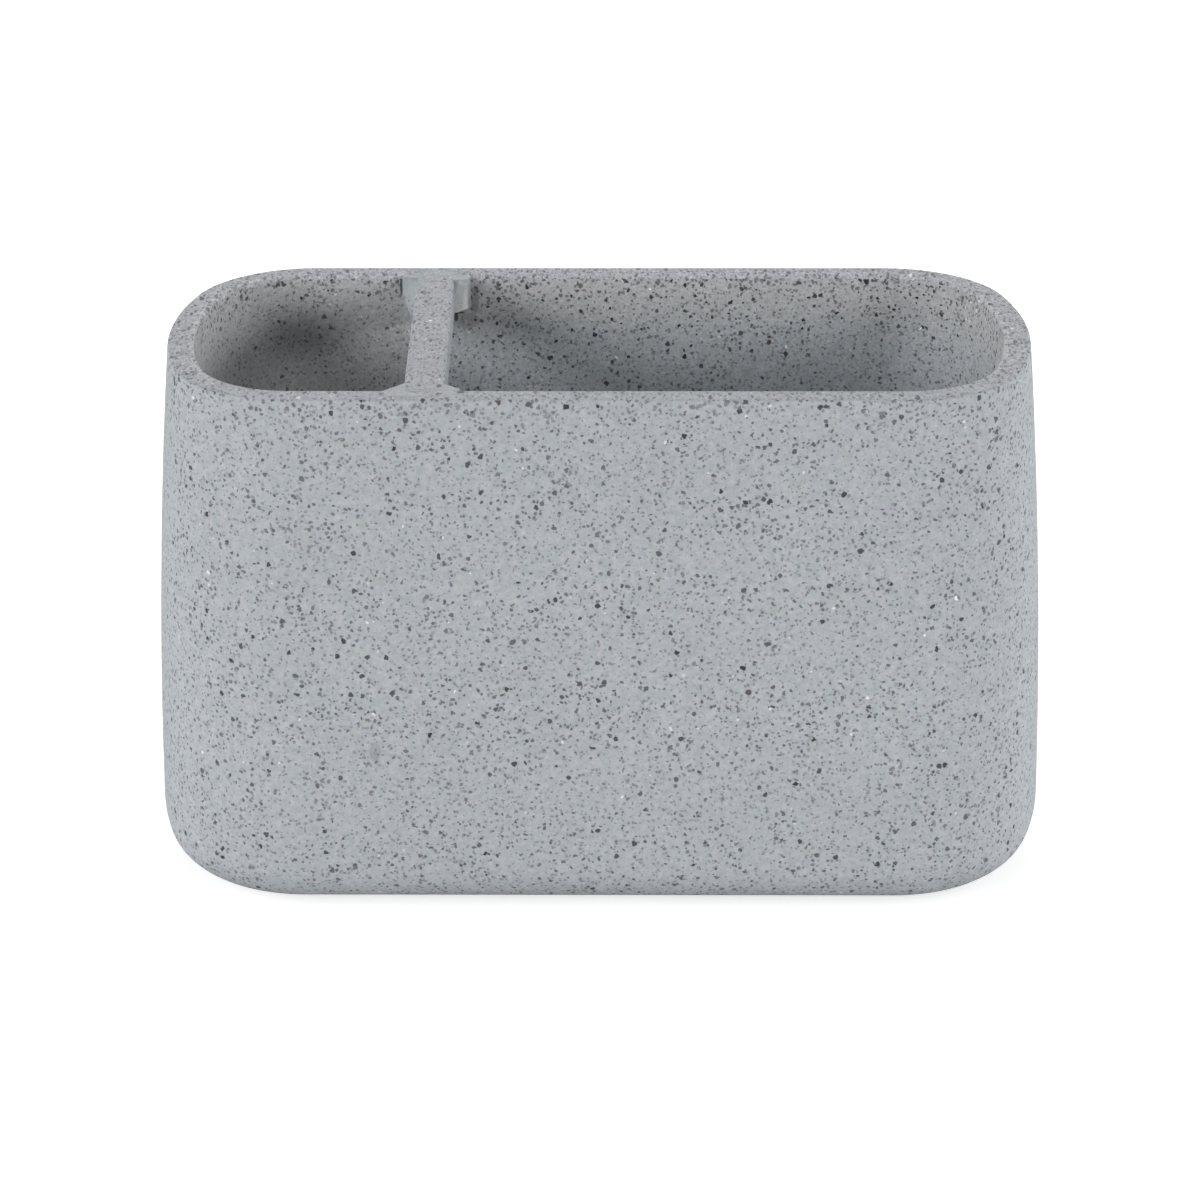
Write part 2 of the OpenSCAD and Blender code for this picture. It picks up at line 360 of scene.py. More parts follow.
# How the faces of a piece are worn: how far one seed moves the pattern, the swells in its cast
# faces, how many cells a metre holds that may be nicked, which of them are, and from where to
# where in a cell a nick shallows
VESSEL_WEAR = {"seed_step": 0.37, "swells": {"Scale": 32.0, "Detail": 2.0, "Roughness": 0.45},
               "cells": 620.0, "picked": (0.55, 0.95), "shallows": (0.15, 0.5)}
BAR_WEAR = {"seed_step": 0.61, "swells": {"Scale": 170.0, "Detail": 3.0, "Roughness": 0.5},
            "cells": 800.0, "picked": (0.5, 0.95), "shallows": (0.1, 0.45)}


def weathered(tree, geometry, size, free, arris, wear):
    """Lets the cast faces wander from true as far as they are free, and nicks the sanded edges
    where a grain broke out, deepest on the arris itself"""
    point = add(tree, "GeometryNodeInputPosition")
    normal = add(tree, "GeometryNodeInputNormal")
    shift = add(tree, "ShaderNodeMath", {"operation": "MULTIPLY"},
                {0: size["Seed"], 1: wear["seed_step"]})
    sample = add(tree, "ShaderNodeVectorMath", {"operation": "ADD"}, {0: point, 1: shift})
    swell = add(tree, "ShaderNodeTexNoise", None, {"Vector": sample, **wear["swells"]})
    swell = add(tree, "ShaderNodeMath", {"operation": "SUBTRACT"}, {0: swell, 1: 0.5})
    cells = add(tree, "ShaderNodeTexVoronoi", {"feature": "F1"},
                {"Vector": sample, "Scale": wear["cells"], "Randomness": 1.0})
    chance = add(tree, "ShaderNodeSeparateXYZ", None, {"Vector": cells.outputs["Color"]})
    least, most = wear["picked"]
    picked = add(tree, "ShaderNodeMapRange", {"interpolation_type": "SMOOTHSTEP"},
                 {"Value": chance.outputs["X"], "From Min": least, "From Max": most})
    inner, outer = wear["shallows"]
    nick = add(tree, "ShaderNodeMapRange", {"interpolation_type": "SMOOTHSTEP"},
               {"Value": cells.outputs["Distance"], "From Min": inner, "From Max": outer,
                "To Min": 1.0, "To Max": 0.0})
    for share in (free, size["Unevenness"]):
        swell = add(tree, "ShaderNodeMath", {"operation": "MULTIPLY"}, {0: swell, 1: share})
    for share in (picked, arris, size["Chip Depth"]):
        nick = add(tree, "ShaderNodeMath", {"operation": "MULTIPLY"}, {0: nick, 1: share})
    move = add(tree, "ShaderNodeMath", {"operation": "SUBTRACT"}, {0: swell, 1: nick})
    move = add(tree, "ShaderNodeVectorMath", {"operation": "SCALE"}, {0: normal, "Scale": move})
    return add(tree, "GeometryNodeSetPosition", None, {"Geometry": geometry, "Offset": move})


# Sizes of the holder that the vessel's tree takes as they are
VESSEL_SIZES = ("Rim Width", "Rim Depth", "Casting Height", "Corner Radius", "End Radius",
                "Base Flare", "Swell Drop", "Foot Radius", "Wall Thickness", "Floor Thickness",
                "Floor Radius", "Draft", "Edge Radius", "Recess Depth", "Pad Inset X",
                "Pad Inset Y", "Unevenness", "Chip Depth")


def vessel_tree():
    """Geometry Nodes of the casting: the wall's section swept round a plan of six arcs"""
    tree, size = new_tree("Cast Vessel", ("Stand", "Recess Radius", "Point Spacing",
                                          *VESSEL_SIZES), ("Seed",))
    for name, operation, *terms in VESSEL_SUMS:
        step = add(tree, "ShaderNodeMath", {"operation": operation},
                   {i: size[t] if isinstance(t, str) else t for i, t in enumerate(terms)})
        size[name] = step.outputs[0]

    def place(x, y):
        return add(tree, "ShaderNodeCombineXYZ", None,
                   {"X": size.get(x, x), "Y": size.get(y, y)})

    def arc(x, y, radius, start, sweep, points):
        drawn = add(tree, "GeometryNodeCurveArc", {"mode": "RADIUS"},
                    {"Resolution": points, "Radius": size[radius],
                     "Start Angle": size.get(start, start), "Sweep Angle": size[sweep]})
        return add(tree, "GeometryNodeTransform", None,
                   {"Geometry": drawn, "Translation": place(x, y)})

    def line(x0, y0, x1, y1, points):
        drawn = add(tree, "GeometryNodeCurvePrimitiveLine", {"mode": "POINTS"},
                    {"Start": place(x0, y0), "End": place(x1, y1)})
        return add(tree, "GeometryNodeResampleCurve", {"mode": "COUNT"},
                   {"Curve": drawn, "Count": points})

    plan = joined_line(tree, [arc(*a) for a in PLAN_ARCS], "plan_order")
    plan = add(tree, "GeometryNodeSetSplineCyclic", None, {"Geometry": plan, "Cyclic": True})
    plan = add(tree, "GeometryNodeResampleCurve", {"mode": "LENGTH"},
               {"Curve": plan, "Length": size["Point Spacing"]})
    section = joined_line(tree, [arc(*p) if len(p) == 6 else line(*p) for p in SECTION_PARTS],
                          "section_place")
    # A section is swept with its Y downwards, so it is turned over first
    section = add(tree, "GeometryNodeTransform", None,
                  {"Geometry": section, "Scale": (1, -1, 1)})
    wall = add(tree, "GeometryNodeCurveToMesh", None,
               {"Curve": plan, "Profile Curve": section})
    wall = add(tree, "GeometryNodeFlipFaces", None, {"Mesh": wall})

    # Four shallow cups in the base for the pads
    cup = add(tree, "GeometryNodeMeshCylinder", {"fill_type": "NGON"},
              {"Vertices": 64, "Radius": size["Recess Radius"], "Depth": size["Recess Depth"]})
    middle = add(tree, "ShaderNodeCombineXYZ", None, {"Z": size["recess_middle"]})
    cup = add(tree, "GeometryNodeTransform", None, {"Geometry": cup, "Translation": middle})
    facing = add(tree, "ShaderNodeSeparateXYZ", None,
                 {"Vector": add(tree, "GeometryNodeInputNormal")})
    underneath = add(tree, "FunctionNodeCompare", {"data_type": "FLOAT", "operation": "LESS_THAN"},
                     {"A": facing.outputs["Z"], "B": -0.9})
    cup = add(tree, "GeometryNodeDeleteGeometry", {"domain": "FACE"},
              {"Geometry": cup, "Selection": underneath})
    cup = add(tree, "GeometryNodeFlipFaces", None, {"Mesh": cup})
    corners = add(tree, "GeometryNodeMeshGrid", None,
                  {"Size X": size["pad_span_x"], "Size Y": size["pad_span_y"],
                   "Vertices X": 2, "Vertices Y": 2})
    cups = add(tree, "GeometryNodeInstanceOnPoints", None,
               {"Points": corners.outputs["Mesh"], "Instance": cup})
    cups = add(tree, "GeometryNodeRealizeInstances", None, {"Geometry": cups})

    open_shell = add(tree, "GeometryNodeJoinGeometry")
    tree.links.new(wall.outputs[0], open_shell.inputs[0])
    tree.links.new(cups.outputs[0], open_shell.inputs[0])
    base = closed_rings(tree, open_shell, -0.1 * MM, 0.1 * MM, 0.0)
    base = add(tree, "GeometryNodeFlipFaces", None, {"Mesh": base})
    floor = closed_rings(tree, open_shell, size["just_below_floor"], size["just_above_floor"],
                         size["Floor Thickness"])
    shell = add(tree, "GeometryNodeJoinGeometry")
    for part in (open_shell, base, floor):
        tree.links.new(part.outputs[0], shell.inputs[0])
    welded = add(tree, "GeometryNodeMergeByDistance", None,
                 {"Geometry": shell, "Distance": WELD})

    # Faces that were sanded flat don't wander, and only the arrises of the rim are nicked
    height = add(tree, "ShaderNodeSeparateXYZ", None,
                 {"Vector": add(tree, "GeometryNodeInputPosition")})
    upward = add(tree, "ShaderNodeSeparateXYZ", None,
                 {"Vector": add(tree, "GeometryNodeInputNormal")})
    level = add(tree, "ShaderNodeMath", {"operation": "ABSOLUTE"}, {0: upward.outputs["Z"]})
    upright = add(tree, "ShaderNodeMath", {"operation": "SUBTRACT", "use_clamp": True},
                  {0: 1.0, 1: level})
    arris = add(tree, "ShaderNodeMath", {"operation": "MULTIPLY"},
                {0: upward.outputs["Z"], 1: upright})
    arris = add(tree, "ShaderNodeMath", {"operation": "MULTIPLY", "use_clamp": True},
                {0: arris, 1: 4.0})
    near_rim = add(tree, "FunctionNodeCompare",
                   {"data_type": "FLOAT", "operation": "GREATER_THAN"},
                   {"A": height.outputs["Z"], "B": size["edge_z"]})
    arris = add(tree, "ShaderNodeMath", {"operation": "MULTIPLY"}, {0: arris, 1: near_rim})
    worn = weathered(tree, welded, size, upright, arris, VESSEL_WEAR)
    stand = add(tree, "ShaderNodeCombineXYZ", None, {"Z": size["Stand"]})
    stood = add(tree, "GeometryNodeTransform", None,
                {"Geometry": worn, "Translation": stand})
    return finished_tree(tree, stood, size["Material"], ("plan_order",))


def finished_tree(tree, geometry, material, tags=()):
    """Ends a tree: smooth faces with crisp corners, real geometry and its material"""
    smooth = add(tree, "GeometryNodeSetShadeSmooth", {"domain": "FACE"},
                 {"Geometry": geometry, "Shade Smooth": True})
    bend = add(tree, "GeometryNodeInputMeshEdgeAngle")
    crisp = add(tree, "FunctionNodeCompare", {"data_type": "FLOAT", "operation": "GREATER_THAN"},
                {"A": bend.outputs[0], "B": 50 * DEGREE})
    smooth = add(tree, "GeometryNodeSetShadeSmooth", {"domain": "EDGE"},
                 {"Geometry": smooth, "Selection": crisp, "Shade Smooth": False})
    for tag in tags:
        smooth = add(tree, "GeometryNodeRemoveAttribute", None, {"Geometry": smooth, "Name": tag})
    real = add(tree, "GeometryNodeRealizeInstances", None, {"Geometry": smooth})
    dressed = add(tree, "GeometryNodeSetMaterial", None,
                  {"Geometry": real, "Material": material})
    leave = add(tree, "NodeGroupOutput")
    tree.links.new(dressed.outputs[0], leave.inputs[0])
    return tree


def bar_tree():
    """Geometry Nodes of the cross bar: a rounded section drawn along its length"""
    tree, size = new_tree("Cross Bar", ("Length", "Top Width", "Base Width", "Height",
                                        "Edge Radius", "Offset", "Skew", "Rim Height",
                                        "Unevenness", "Chip Depth"), ("Seed",))
    block = add(tree, "GeometryNodeCurvePrimitiveQuadrilateral", {"mode": "TRAPEZOID"},
                {"Bottom Width": size["Top Width"], "Top Width": size["Base Width"],
                 "Height": size["Height"], "Offset": 0.0})
    rounded = add(tree, "GeometryNodeFilletCurve", {"mode": "POLY"},
                  {"Curve": block, "Count": 8, "Radius": size["Edge Radius"]})
    section = add(tree, "GeometryNodeResampleCurve", {"mode": "COUNT"},
                  {"Curve": rounded, "Count": 128})
    half = add(tree, "ShaderNodeMath", {"operation": "MULTIPLY"}, {0: size["Length"], 1: 0.5})
    minus = add(tree, "ShaderNodeMath", {"operation": "MULTIPLY"}, {0: half, 1: -1.0})
    run = add(tree, "GeometryNodeCurvePrimitiveLine", {"mode": "POINTS"},
              {"Start": add(tree, "ShaderNodeCombineXYZ", None, {"Y": minus}),
               "End": add(tree, "ShaderNodeCombineXYZ", None, {"Y": half})})
    run = add(tree, "GeometryNodeResampleCurve", {"mode": "COUNT"}, {"Curve": run, "Count": 180})
    bar = add(tree, "GeometryNodeCurveToMesh", None,
              {"Curve": run, "Profile Curve": section, "Fill Caps": True})
    bar = add(tree, "GeometryNodeMergeByDistance", None, {"Geometry": bar, "Distance": WELD / 2})

    # The top was sanded flush with the rim, so it stays flat
    upward = add(tree, "ShaderNodeSeparateXYZ", None,
                 {"Vector": add(tree, "GeometryNodeInputNormal")})
    free, arris = (
        add(tree, "ShaderNodeMapRange", {"interpolation_type": "SMOOTHSTEP"},
            {"Value": upward.outputs["Z"], "From Min": start, "From Max": end})
        for start, end in ((0.9, 0.5), (0.995, 0.8)))
    worn = weathered(tree, bar, size, free, arris, BAR_WEAR)
    sunk = add(tree, "ShaderNodeMath", {"operation": "MULTIPLY"}, {0: size["Height"], 1: -0.5})
    level = add(tree, "ShaderNodeMath", {"operation": "ADD"}, {0: sunk, 1: size["Rim Height"]})
    left = add(tree, "ShaderNodeMath", {"operation": "MULTIPLY"}, {0: size["Offset"], 1: -1.0})
    spot = add(tree, "ShaderNodeCombineXYZ", None, {"X": left, "Z": level})
    turn = add(tree, "ShaderNodeCombineXYZ", None, {"Z": size["Skew"]})
    laid = add(tree, "GeometryNodeTransform", None,
               {"Geometry": worn, "Translation": spot, "Rotation": turn})
    return finished_tree(tree, laid, size["Material"])


def pads_tree():
    """Geometry Nodes of the four pads: one foam disc, set at each corner of a grid"""
    tree, size = new_tree("Grip Pads", ("Radius", "Thickness", "Bulge", "Span X", "Span Y"))
    half = add(tree, "ShaderNodeMath", {"operation": "MULTIPLY"}, {0: size["Thickness"], 1: 0.5})
    share = add(tree, "ShaderNodeMath", {"operation": "DIVIDE"}, {0: size["Bulge"], 1: half})
    side = add(tree, "GeometryNodeCurveArc", {"mode": "RADIUS"},
               {"Resolution": 11, "Radius": half, "Start Angle": -math.pi / 2,
                "Sweep Angle": math.pi})
    squeeze = add(tree, "ShaderNodeCombineXYZ", None, {"X": share, "Y": 1.0, "Z": 1.0})
    side = add(tree, "GeometryNodeTransform", None, {"Geometry": side, "Scale": squeeze})
    inner = add(tree, "ShaderNodeMath", {"operation": "SUBTRACT"},
                {0: size["Radius"], 1: size["Bulge"]})
    ring = add(tree, "GeometryNodeCurvePrimitiveCircle", {"mode": "RADIUS"},
               {"Resolution": 72, "Radius": inner})
    wall = add(tree, "GeometryNodeCurveToMesh", None, {"Curve": ring, "Profile Curve": side})
    down = add(tree, "ShaderNodeMath", {"operation": "MULTIPLY"}, {0: half, 1: -1.0})
    top = closed_rings(tree, wall, 0.0, 1.0, half)
    under = closed_rings(tree, wall, -1.0, 0.0, down)
    under = add(tree, "GeometryNodeFlipFaces", None, {"Mesh": under})
    disc = add(tree, "GeometryNodeJoinGeometry")
    for part in (wall, top, under):
        tree.links.new(part.outputs[0], disc.inputs[0])
    disc = add(tree, "GeometryNodeMergeByDistance", None, {"Geometry": disc, "Distance": WELD / 2})
    lift = add(tree, "ShaderNodeCombineXYZ", None, {"Z": half})
    disc = add(tree, "GeometryNodeTransform", None, {"Geometry": disc, "Translation": lift})
    corners = add(tree, "GeometryNodeMeshGrid", None,
                  {"Size X": size["Span X"], "Size Y": size["Span Y"],
                   "Vertices X": 2, "Vertices Y": 2})
    discs = add(tree, "GeometryNodeInstanceOnPoints", None,
                {"Points": corners.outputs["Mesh"], "Instance": disc})
    discs = add(tree, "GeometryNodeRealizeInstances", None, {"Geometry": discs})
    return finished_tree(tree, discs, size["Material"])


def new_material(name, roughness, ior=1.5):
    """A material with only its shader, which the caller feeds"""
    material = bpy.data.materials.new(name)
    material.use_nodes = True
    tree = material.node_tree
    tree.nodes.clear()
    shader = add(tree, "ShaderNodeBsdfPrincipled", None, {"Roughness": roughness, "IOR": ior})
    add(tree, "ShaderNodeOutputMaterial", None, {"Surface": shader})
    return material, tree, shader


# Crushed grains, coarse and fine: the spacing of their middles, the least and the greatest radius,
# how far the radii lean to the small ones, the faintest and the darkest grain, and how large the
# grains inside are beside those outside
GRAINS = ((0.93 * MM, 0.29 * MM, 0.52 * MM, 10.0, 0.28, 0.98, 0.89),
          (0.80 * MM, 0.24 * MM, 0.315 * MM, 3.0, 0.12, 0.62, 1.08))

# What was left on the stone and the resin where the bar was bonded in, and painted shade and light
# round the back of the bar: the middle and half sizes of each mark in mm, its colour, and how well
# it covers. On the stone the resin's are smears, the ivory and slate ones chips and scratches, and
# the charcoal and umber ones pits and dirt, except those marked below as painted shade
MARKS_AND_PAINTED_SHADING = {
    "vessel": (
        ((-26.6, 29.6, 85.0), (5.3, 2.9, 0.9), "resin", 0.60),
        ((-28.1, -29.2, 85.0), (4.2, 1.6, 0.5), "resin", 0.45),
        ((-29.1, -28.9, 85.0), (2.3, 0.35, 0.3), "ivory", 0.16),
        ((-30.2, -30.4, 85.0), (2.3, 0.50, 0.4), "slate", 0.12),
        ((-27.9, -27.6, 85.0), (1.2, 0.22, 0.4), "slate", 0.45),
        ((-26.2, -31.0, 84.8), (0.35, 0.5, 0.5), "charcoal", 0.80),
        ((-20.6, -28.0, 84.8), (0.7, 0.7, 0.6), "charcoal", 0.70),
        # Painted shade: a dark hollow under the back right wing, and its shadow below and beside it
        ((-23.3, 27.0, 78.55), (1.0, 0.9, 0.25), "charcoal", 0.85),
        ((-23.9, 27.0, 77.9), (0.42, 0.9, 0.85), "charcoal", 0.90),
        ((-22.3, 27.0, 77.2), (2.6, 0.9, 1.6), "umber", 0.35),
        ((-20.75, 27.0, 80.6), (0.80, 0.8, 2.9), "umber", 0.45),
        # Painted shade: a dark line in the gap beside the tip of the back left wing
        ((-32.8, 27.0, 82.9), (0.24, 0.6, 1.7), "charcoal", 0.80),
        ((-34.6, -34.2, 28.0), (1.1, 3.0, 1.8), "slate", 0.25),
    ),
    "bar": (
        ((-29.8, 23.5, 85.0), (1.7, 4.2, 0.8), "resin", 0.60),
        ((-29.2, 15.7, 85.0), (1.1, 0.30, 0.3), "slate", 0.45),
        ((-26.6, -26.6, 85.0), (4.0, 1.1, 0.5), "resin", 0.50),
        ((-26.8, 4.6, 85.0), (0.35, 0.45, 0.3), "ivory", 0.80),
    ),
    "resin": (
        # Painted light: the face of the back right wing, drawn lighter
        ((-22.9, 24.5, 81.8), (1.4, 4.0, 2.9), "ivory", 0.36),
        # Painted shade: a darker stripe down the rounded right edge of that wing
        ((-21.3, 24.5, 81.8), (0.6, 4.0, 3.0), "slate", 0.30),
    ),
}

# Painted shade: two faint dark patches inside the back wall, given as the marks are
PAINTED_SHADE_PATCHES = (
    ((-49.8, 26.0, 74.6), (14.0, 3.5, 5.7), "charcoal", 0.25),
    ((-13.9, 26.5, 76.0), (12.0, 3.5, 4.8), "charcoal", 0.19),
)


def marked(tree, look, place, level, colours, marks, core=1.1):
    """Lays the marks over a look, each with a ragged edge that begins core times as far out as its
    half size, and returns the colour output"""
    rough = add(tree, "ShaderNodeTexNoise", None,
                {"Vector": place, "Scale": 1 / (1.2 * MM), "Detail": 2.0})
    for middle, half, shade, cover in marks:
        away = add(tree, "ShaderNodeVectorMath", {"operation": "SUBTRACT"},
                   {0: place, 1: [v * MM for v in middle]})
        away = add(tree, "ShaderNodeVectorMath", {"operation": "DIVIDE"},
                   {0: away, 1: [v * MM for v in half]})
        away = add(tree, "ShaderNodeVectorMath", {"operation": "LENGTH"}, {0: away})
        ragged = add(tree, "ShaderNodeMath", {"operation": "MULTIPLY_ADD"},
                     {0: rough, 1: 0.8, 2: away})
        covered = add(tree, "ShaderNodeMapRange", {"interpolation_type": "SMOOTHSTEP"},
                      {"Value": ragged, "From Min": 1.5, "From Max": core, "To Max": cover})
        shade = add(tree, "ShaderNodeVectorMath", {"operation": "SCALE"},
                    {0: getattr(colours, shade)[:3], "Scale": level})
        look = add(tree, "ShaderNodeMix", {"data_type": "RGBA"},
                   {"Factor": covered, "A": look, "B": shade})
    return next(s for s in look.outputs if s.enabled)


def stone_zones(tree, place, rim):
    """Where the stone was sanded or cast against the core, and where dust lies, each from 0 to 1,
    and the height of the place"""
    split = add(tree, "ShaderNodeSeparateXYZ", None, {"Vector": place})
    # Sanded where the surface reaches the level of the rim, up to a wandering edge
    patchy = add(tree, "ShaderNodeTexNoise", None,
                 {"Vector": place, "Scale": 1 / (1.2 * MM), "Detail": 2.0})
    reach = add(tree, "ShaderNodeMath", {"operation": "MULTIPLY_ADD"},
                {0: patchy, 1: 0.15 * MM, 2: split.outputs["Z"]})
    sanded = add(tree, "ShaderNodeMapRange", {"interpolation_type": "SMOOTHSTEP"},
                 {"Value": reach, "From Min": rim - 0.05 * MM, "From Max": rim + 0.03 * MM})
    # Parts of the vessel's section, from its first on, from the rim's inner edge on, and from the
    # inner wall on. The bar has none, so it counts as finely sanded from end to end
    section = add(tree, "ShaderNodeAttribute", {"attribute_name": "section_place"})
    rimmed, inward, inside = (
        add(tree, "ShaderNodeMath", {"operation": "GREATER_THAN"},
            {0: section.outputs["Fac"], 1: start}) for start in (0.5, INWARD_FROM, INSIDE_FROM))
    # From the ends round the back, coarser paper was used, and it eased the inner edge too
    behind = add(tree, "ShaderNodeMapRange", {"interpolation_type": "SMOOTHSTEP"},
                 {"Value": split.outputs["Y"], "From Min": -27 * MM, "From Max": -15 * MM,
                  "To Max": rimmed})
    before = add(tree, "ShaderNodeMath", {"operation": "SUBTRACT"}, {0: rimmed, 1: behind})
    eased = add(tree, "ShaderNodeMapRange", {"interpolation_type": "SMOOTHSTEP"},
                {"Value": reach, "From Min": rim - 0.70 * MM, "From Max": rim - 0.40 * MM,
                 "To Max": inward})
    eased = add(tree, "ShaderNodeMath", {"operation": "MULTIPLY"}, {0: eased, 1: behind})
    sanded = add(tree, "ShaderNodeMath", {"operation": "MAXIMUM"}, {0: sanded, 1: eased})
    rough = add(tree, "ShaderNodeMath", {"operation": "MULTIPLY"}, {0: sanded, 1: behind})
    # Finer paper left less dust on the front of the rim
    bloom = add(tree, "ShaderNodeMapRange", None, {"Value": before, "To Min": 1.0, "To Max": 0.6})
    bloom = add(tree, "ShaderNodeMath", {"operation": "MULTIPLY"}, {0: sanded, 1: bloom})
    # A film dulls the inside of the narrow side, and sanding dust clings below the rim
    narrow = add(tree, "ShaderNodeMapRange", {"interpolation_type": "SMOOTHSTEP"},
                 {"Value": split.outputs["X"], "From Min": -28 * MM, "From Max": -33 * MM})
    filmed = add(tree, "ShaderNodeMath", {"operation": "MULTIPLY"}, {0: narrow, 1: 0.7})
    dusty = add(tree, "ShaderNodeMapRange", {"interpolation_type": "SMOOTHSTEP"},
                {"Value": split.outputs["Z"], "From Min": rim - 13 * MM, "From Max": rim - 3 * MM,
                 "To Min": 0.1, "To Max": 0.75})
    dusty = add(tree, "ShaderNodeMath", {"operation": "MAXIMUM"}, {0: dusty, 1: filmed})
    dusty = add(tree, "ShaderNodeMath", {"operation": "MULTIPLY"}, {0: dusty, 1: inside})
    return {"height": split.outputs["Z"], "inside": inside, "narrow": narrow, "eased": eased,
            "sanded": sanded, "rough": rough, "bloom": bloom, "dusty": dusty}


def stone_ground(tree, place, drawn, at, colours, rim):
    """The look of the resin between the grains, and its level of light, which marks take on too.
    It is faintly clouded and mottled in tone and hue, and gritty where it was sanded. Painted shade
    and light change it with height"""
    ground = colours.stone
    for zone, laid in (("dusty", colours.film), ("bloom", colours.dust)):
        ground = add(tree, "ShaderNodeMix", {"data_type": "RGBA"},
                     {"Factor": at[zone], "A": ground, "B": laid})
    cloud = add(tree, "ShaderNodeTexNoise", None,
                {"Vector": place, "Scale": 1 / (14 * MM), "Detail": 3.0, "Roughness": 0.6})
    cloud = add(tree, "ShaderNodeMapRange", None,
                {"Value": cloud, "From Min": 0.25, "From Max": 0.75,
                 "To Min": 0.97, "To Max": 1.03})
    mottle = add(tree, "ShaderNodeTexNoise", None,
                 {"Vector": place, "Scale": 1 / (1.1 * MM), "Detail": 2.0, "Roughness": 0.6})
    tone = add(tree, "ShaderNodeMapRange", None,
               {"Value": mottle, "From Min": 0.25, "From Max": 0.75,
                "To Min": 0.89, "To Max": 1.11})
    hue = add(tree, "ShaderNodeVectorMath", {"operation": "MULTIPLY_ADD"},
              {0: mottle.outputs["Color"], 1: (0.14, 0.14, 0.14), 2: (0.93, 0.93, 0.93)})
    # Painted shade darkens the outside a little towards the rim, and painted light pales the inside
    # towards the mouth
    painted_shading_and_sanding = add(tree, "ShaderNodeMapRange", None,
                  {"Value": at["height"], "From Min": 25 * MM, "From Max": rim,
                   "To Min": 1.0, "To Max": 0.93})
    painted_shading_and_sanding = add(tree, "ShaderNodeMath", {"operation": "MAXIMUM"}, {0: painted_shading_and_sanding, 1: at["sanded"]})
    painted_mouth_light = add(tree, "ShaderNodeMapRange", None,
                 {"Value": at["height"], "From Min": 68 * MM, "From Max": 77 * MM,
                  "To Min": 1.0, "To Max": 1.04})
    painted_shading_and_sanding = add(tree, "ShaderNodeMix", {"data_type": "FLOAT"},
                  {"Factor": at["inside"], "A": painted_shading_and_sanding, "B": painted_mouth_light})
    # Painted light on the eased inner edge, as a wider rounding would catch the light. The coarsely
    # sanded rim behind is drawn a little lighter
    for zone, gain in (("eased", 0.12), ("rough", 0.04)):
        painted_shading_and_sanding = add(tree, "ShaderNodeMath", {"operation": "MULTIPLY_ADD"},
                      {0: at[zone], 1: gain, 2: painted_shading_and_sanding})
    # The grit shows where the sanding or the core opened the skin, most of all after coarse paper
    grit = add(tree, "ShaderNodeTexNoise", None,
               {"Vector": drawn, "Scale": 1 / (0.4 * MM), "Detail": 2.0, "Roughness": 0.7})
    opened = add(tree, "ShaderNodeMath", {"operation": "MAXIMUM"},
                 {0: at["sanded"], 1: at["inside"]})
    coarse = add(tree, "ShaderNodeMapRange", None,
                 {"Value": opened, "To Min": 0.40, "To Max": 1.00})
    coarse = add(tree, "ShaderNodeMath", {"operation": "MULTIPLY_ADD"},
                 {0: at["rough"], 1: 0.65, 2: coarse})
    grit = add(tree, "ShaderNodeMath", {"operation": "SUBTRACT"}, {0: grit, 1: 0.5})
    grit = add(tree, "ShaderNodeMath", {"operation": "MULTIPLY_ADD"}, {0: grit, 1: coarse, 2: 1.0})
    level = cloud
    for share in (tone, grit, painted_shading_and_sanding):
        level = add(tree, "ShaderNodeMath", {"operation": "MULTIPLY"}, {0: level, 1: share})
    look = add(tree, "ShaderNodeVectorMath", {"operation": "MULTIPLY"}, {0: ground, 1: hue})
    look = add(tree, "ShaderNodeVectorMath", {"operation": "SCALE"}, {0: look, "Scale": level})
    return look, level


